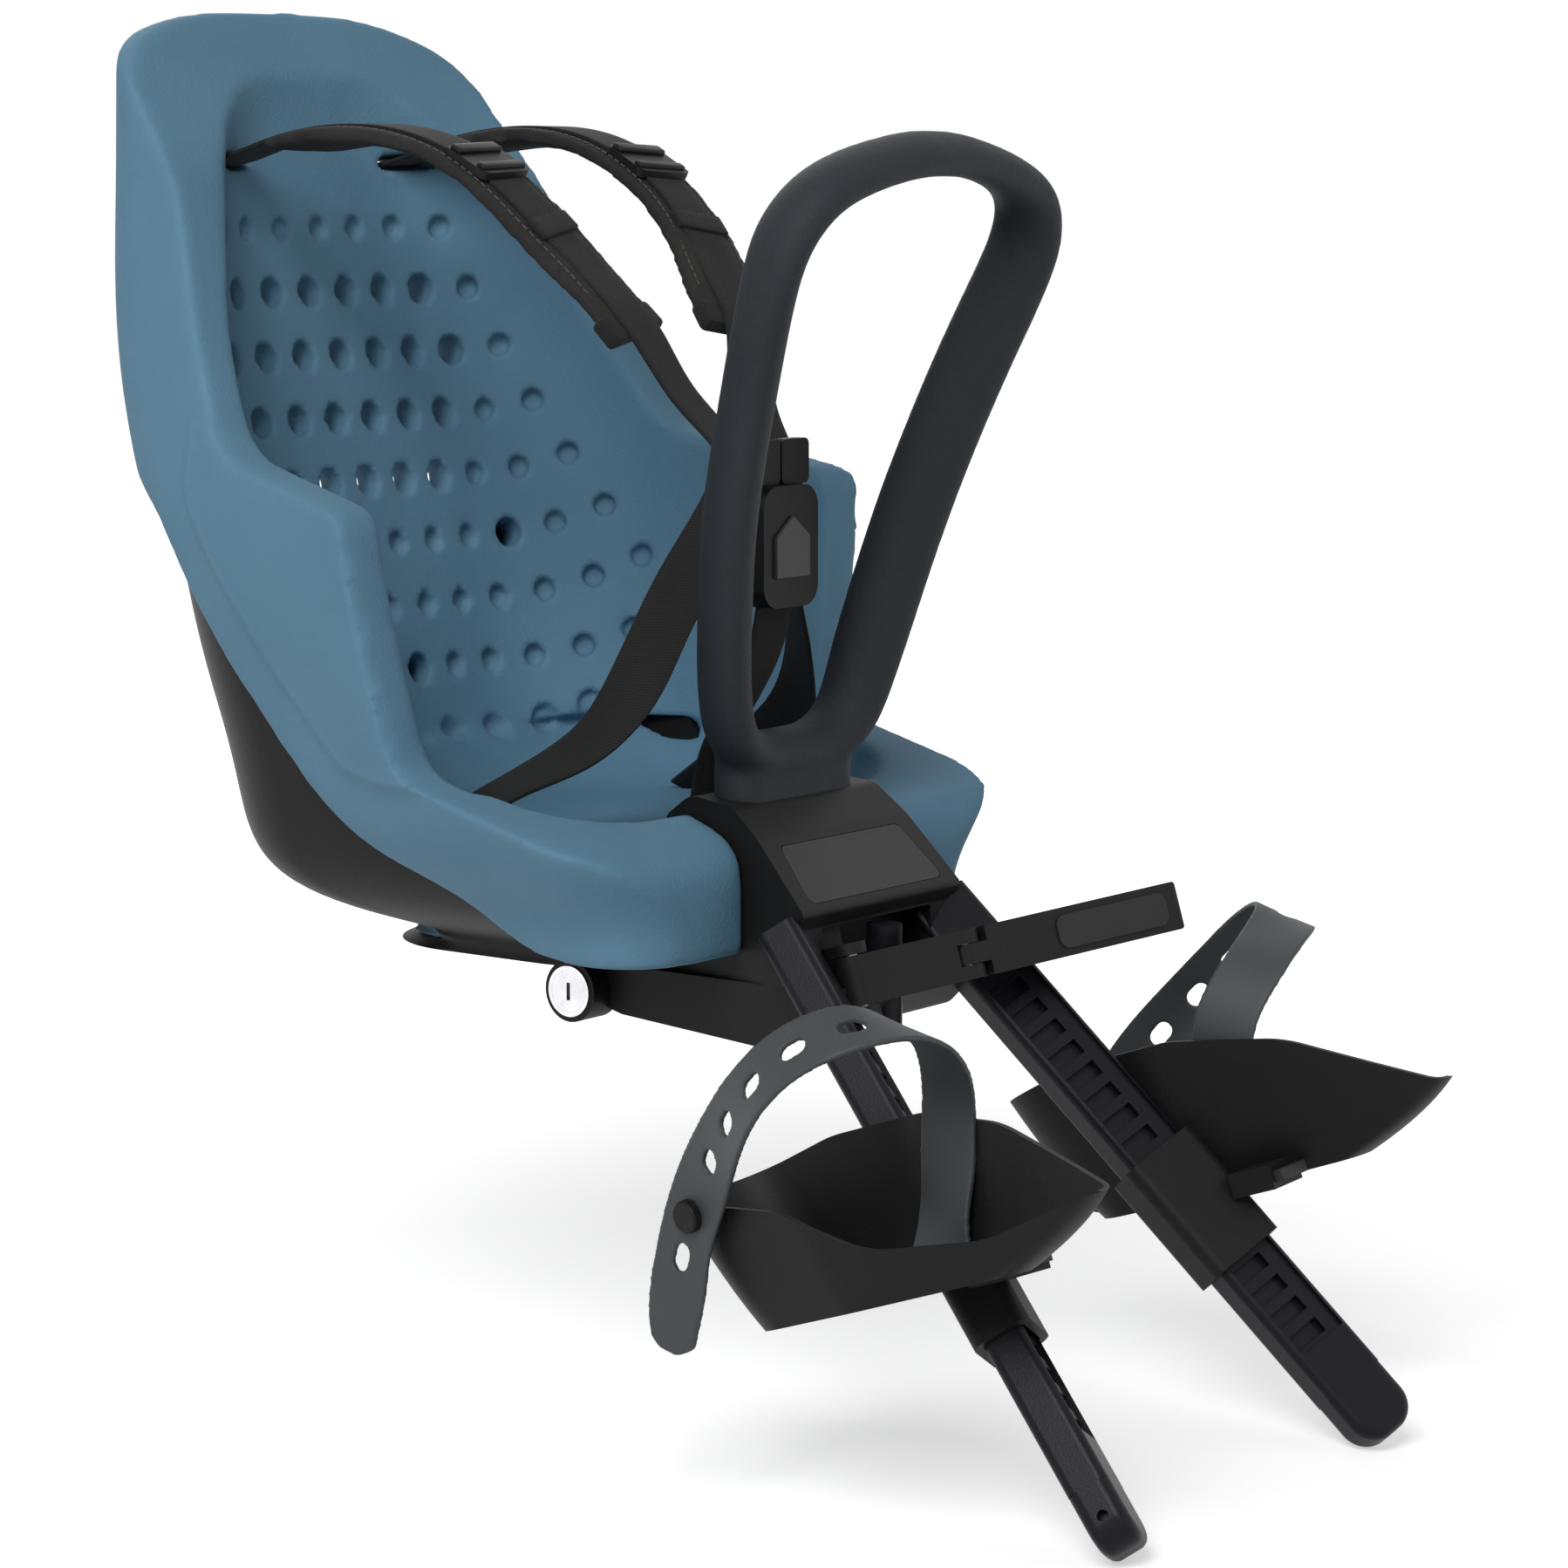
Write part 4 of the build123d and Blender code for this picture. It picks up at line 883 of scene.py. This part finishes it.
def line_length(stations):
    """Length of a strap's line in millimetres."""
    return chord_lengths(np.array([place for place, _ in stations], dtype=float))[-1]


def run_of(stations, start, end, count=SHORT_STATIONS):
    """The run of a strap's line between two distances in millimetres."""
    places, middles, _, looks = strip_lines(stations, 1.0, LINE_STEPS)
    wanted = np.linspace(start, end, count) * MM
    pick = [int(np.abs(places - place).argmin()) for place in wanted]
    return [(tuple(middles[i] / MM), tuple(looks[i])) for i in pick]


def stitch_row(name, stations, shift, lift):
    """Stitches along a line, moved sideways and up from it, in millimetres."""
    places, middles, sides, looks = strip_lines(stations, 2.0, LINE_STEPS)
    looks = looks / np.linalg.norm(looks, axis=1)[:, None]
    sides = sides / np.linalg.norm(sides, axis=1)[:, None]
    bpy.ops.object.select_all(action="DESELECT")
    bpy.ops.mesh.primitive_cylinder_add(
        vertices=STITCH_SIDES, radius=STITCH_RADIUS * MM, depth=STITCH_LENGTH * MM)
    piece = bpy.context.object
    piece.name = name
    count = int(places[-1] / (STITCH_PITCH * MM))
    finish_with(piece, "ARRAY", count=count, use_relative_offset=False, use_constant_offset=True,
                constant_offset_displace=(0, 0, STITCH_PITCH * MM))
    for point in piece.data.vertices:
        across, up, along = point.co
        index = int(np.abs(places - along - STITCH_LENGTH * MM / 2).argmin())
        point.co = (middles[index] + sides[index] * (across + shift * MM)
                    + looks[index] * (up + lift * MM))
    face_out(piece)
    shade(piece, STITCH_ANGLE)
    return piece


pad_length = line_length(PAD_LINE)
sewn_run = run_of(PAD_LINE, STITCH_ENDS[0], pad_length - STITCH_ENDS[1], SEWN_STATIONS)
keeper_run = run_of(PAD_LINE, KEEPER_PLACE, KEEPER_PLACE + KEEPER_RUN)
hem_line = run_of(PAD_LINE, pad_length - HEM_RUN, pad_length)
keeper_line = lifted(keeper_run, (PAD_THICK + KEEPER_THICK) / 2 + WEB_THICK - KEEPER_SINK)
for side, turned in SIDES:
    hem = tape(f"pad_hem_{side}", turned(hem_line), PAD_WIDTH + HEM_WIDER, PAD_THICK + HEM_THICKER,
               HEM_EDGE)
    dress(hem, "seat", "webbing", "webbing")
    keeper = tape(f"pad_keeper_{side}", turned(keeper_line), KEEPER_WIDTH, KEEPER_THICK, KEEPER_EDGE)
    dress(keeper, "seat", "webbing", "webbing")
    for edge, shift in (("inner", STITCH_SHIFT), ("outer", -STITCH_SHIFT)):
        row = stitch_row(f"pad_stitches_{edge}_{side}", turned(sewn_run), shift,
                         PAD_THICK / 2 + STITCH_LIFT)
        dress(row, "seat", "pad_fabric", "thread")
print("sewn along:", round(pad_length, 1), "mm")

# %% [markdown]
# ## Bars of the pad slides
# The CAD model has a plain frame where each strap is set. Two bars cross the real slide, and the strap
# runs under them. A cube primitive is placed in the frame's own directions and its edges are bevelled.

# %% Bars of the pad slides
SLIDE_STATION = 3
SLIDE_THICK = 4.0
# Each bar has its width, length, thickness, shift along the strap and lift
SLIDE_BARS = ((31.0, 6.5, 3.6, -8.0, 2.4), (31.0, 5.0, 3.0, 7.5, 2.2))
BAR_EDGE = 1.2
BAR_SEGMENTS = 3


def slide_bar(name, stations, bar):
    """One bevelled bar across the strap at the slide."""
    width, length, thick, shift, lift = bar
    middle, half, way = station_rows(stations, 2.0)[SLIDE_STATION]
    across = half.normalized()
    along = way.cross(across)
    base = middle + way * ((PAD_THICK + SLIDE_THICK) / 2 + WEB_LIFT + lift) * MM - along * shift * MM
    bpy.ops.object.select_all(action="DESELECT")
    bpy.ops.mesh.primitive_cube_add(size=1.0)
    piece = bpy.context.object
    piece.name = name
    for point in piece.data.vertices:
        x, y, z = point.co * MM
        point.co = base + across * (x * width) + along * (y * length) + way * (z * thick)
    face_out(piece)
    finish_with(piece, "BEVEL", width=BAR_EDGE * MM, segments=BAR_SEGMENTS)
    shade(piece)
    return piece


for side, turned in SIDES:
    for index, bar in enumerate(SLIDE_BARS):
        made = slide_bar(f"slide_bar_{index}_{side}", turned(PAD_LINE), bar)
        dress(made, "seat", "buckle_black", "buckle_black")
print("slide bars:", 2 * len(SLIDE_BARS))

# %% [markdown]
# ## Rubber foot straps
# The foot straps are moulded from soft rubber, with a row of holes for the stud. Their edges are
# round, so they are softened from their solids with very small faces. The free end is a half circle:
# points beyond the circle are pulled in to it.

# %% Rubber foot straps
STRAP_VOXEL = 0.8
STRAP_ROUNDS = 3
STRAP_HALF = 14.5
CUP_CENTRE = Vector((-132, -98, -107))
TOE_UP = math.radians(19)
TOE_OUT = math.radians(5)
STRAP_END = Vector((37, -94, 1))
STRAP_NEXT = Vector((37.5, -84, 18))
toe = Vector((
    -math.sin(TOE_OUT) * math.cos(TOE_UP), -math.cos(TOE_OUT) * math.cos(TOE_UP), math.sin(TOE_UP),
))
sole_up = (Vector((0, 0, 1)) - toe * toe.z).normalized()
outward = toe.cross(sole_up)


def from_cup(place):
    """Place in the right foot cup's own directions, in metres in the frame."""
    return (CUP_CENTRE + outward * place.x + toe * place.y + sole_up * place.z) * MM


def round_end(piece, mirror):
    """Turn the strap's free end into a half circle."""
    flip = Vector((mirror, 1, 1))
    end, behind = from_cup(STRAP_END) * flip, from_cup(STRAP_NEXT) * flip
    along = (end - behind).normalized()
    side = along.cross(outward * flip).normalized()
    centre = end - along * STRAP_HALF * MM
    for point in piece.data.vertices:
        reach, shift = (point.co - centre).dot(along), (point.co - centre).dot(side)
        far = math.hypot(reach, shift)
        if 0 < reach < 2 * STRAP_HALF * MM and STRAP_HALF * MM < far < 2 * STRAP_HALF * MM:
            pull = STRAP_HALF * MM / far - 1
            point.co += along * reach * pull + side * shift * pull


for side, mirror in (("right", 1), ("left", -1)):
    strap = softened(f"foot_strap_{side}", f"rubber_strap_{side}", STRAP_VOXEL, STRAP_ROUNDS)
    round_end(strap, mirror)
    dress(strap, f"footrest_{side}", "strap_rubber", "strap_rubber", f"foot_strap_{side}")
    print(strap.name, len(strap.data.polygons))

# %% [markdown]
# ## Finishes of the hard parts
# The hard parts keep their CAD shapes and get the finish of their material slot. The rails, their caps
# and the post get a darker and glossier black.

# %% Finishes of the hard parts
SLOT_OF = {row["node"]: row["material_slot"] for row in frame["record"]["subparts"]}
DARKER_NODES = ("rail_right", "rail_left", "rail_cap_right", "rail_cap_left", "mount_post")
OWN_FINISH = dict.fromkeys(DARKER_NODES, "rail_black")
for name, cad_node in frame["nodes"].items():
    finish = FINISHES[OWN_FINISH.get(name, SLOT_OF[name])]
    cad_node.data.materials.clear()
    cad_node.data.materials.append(finish)
print("painted CAD nodes:", len(frame["nodes"]))
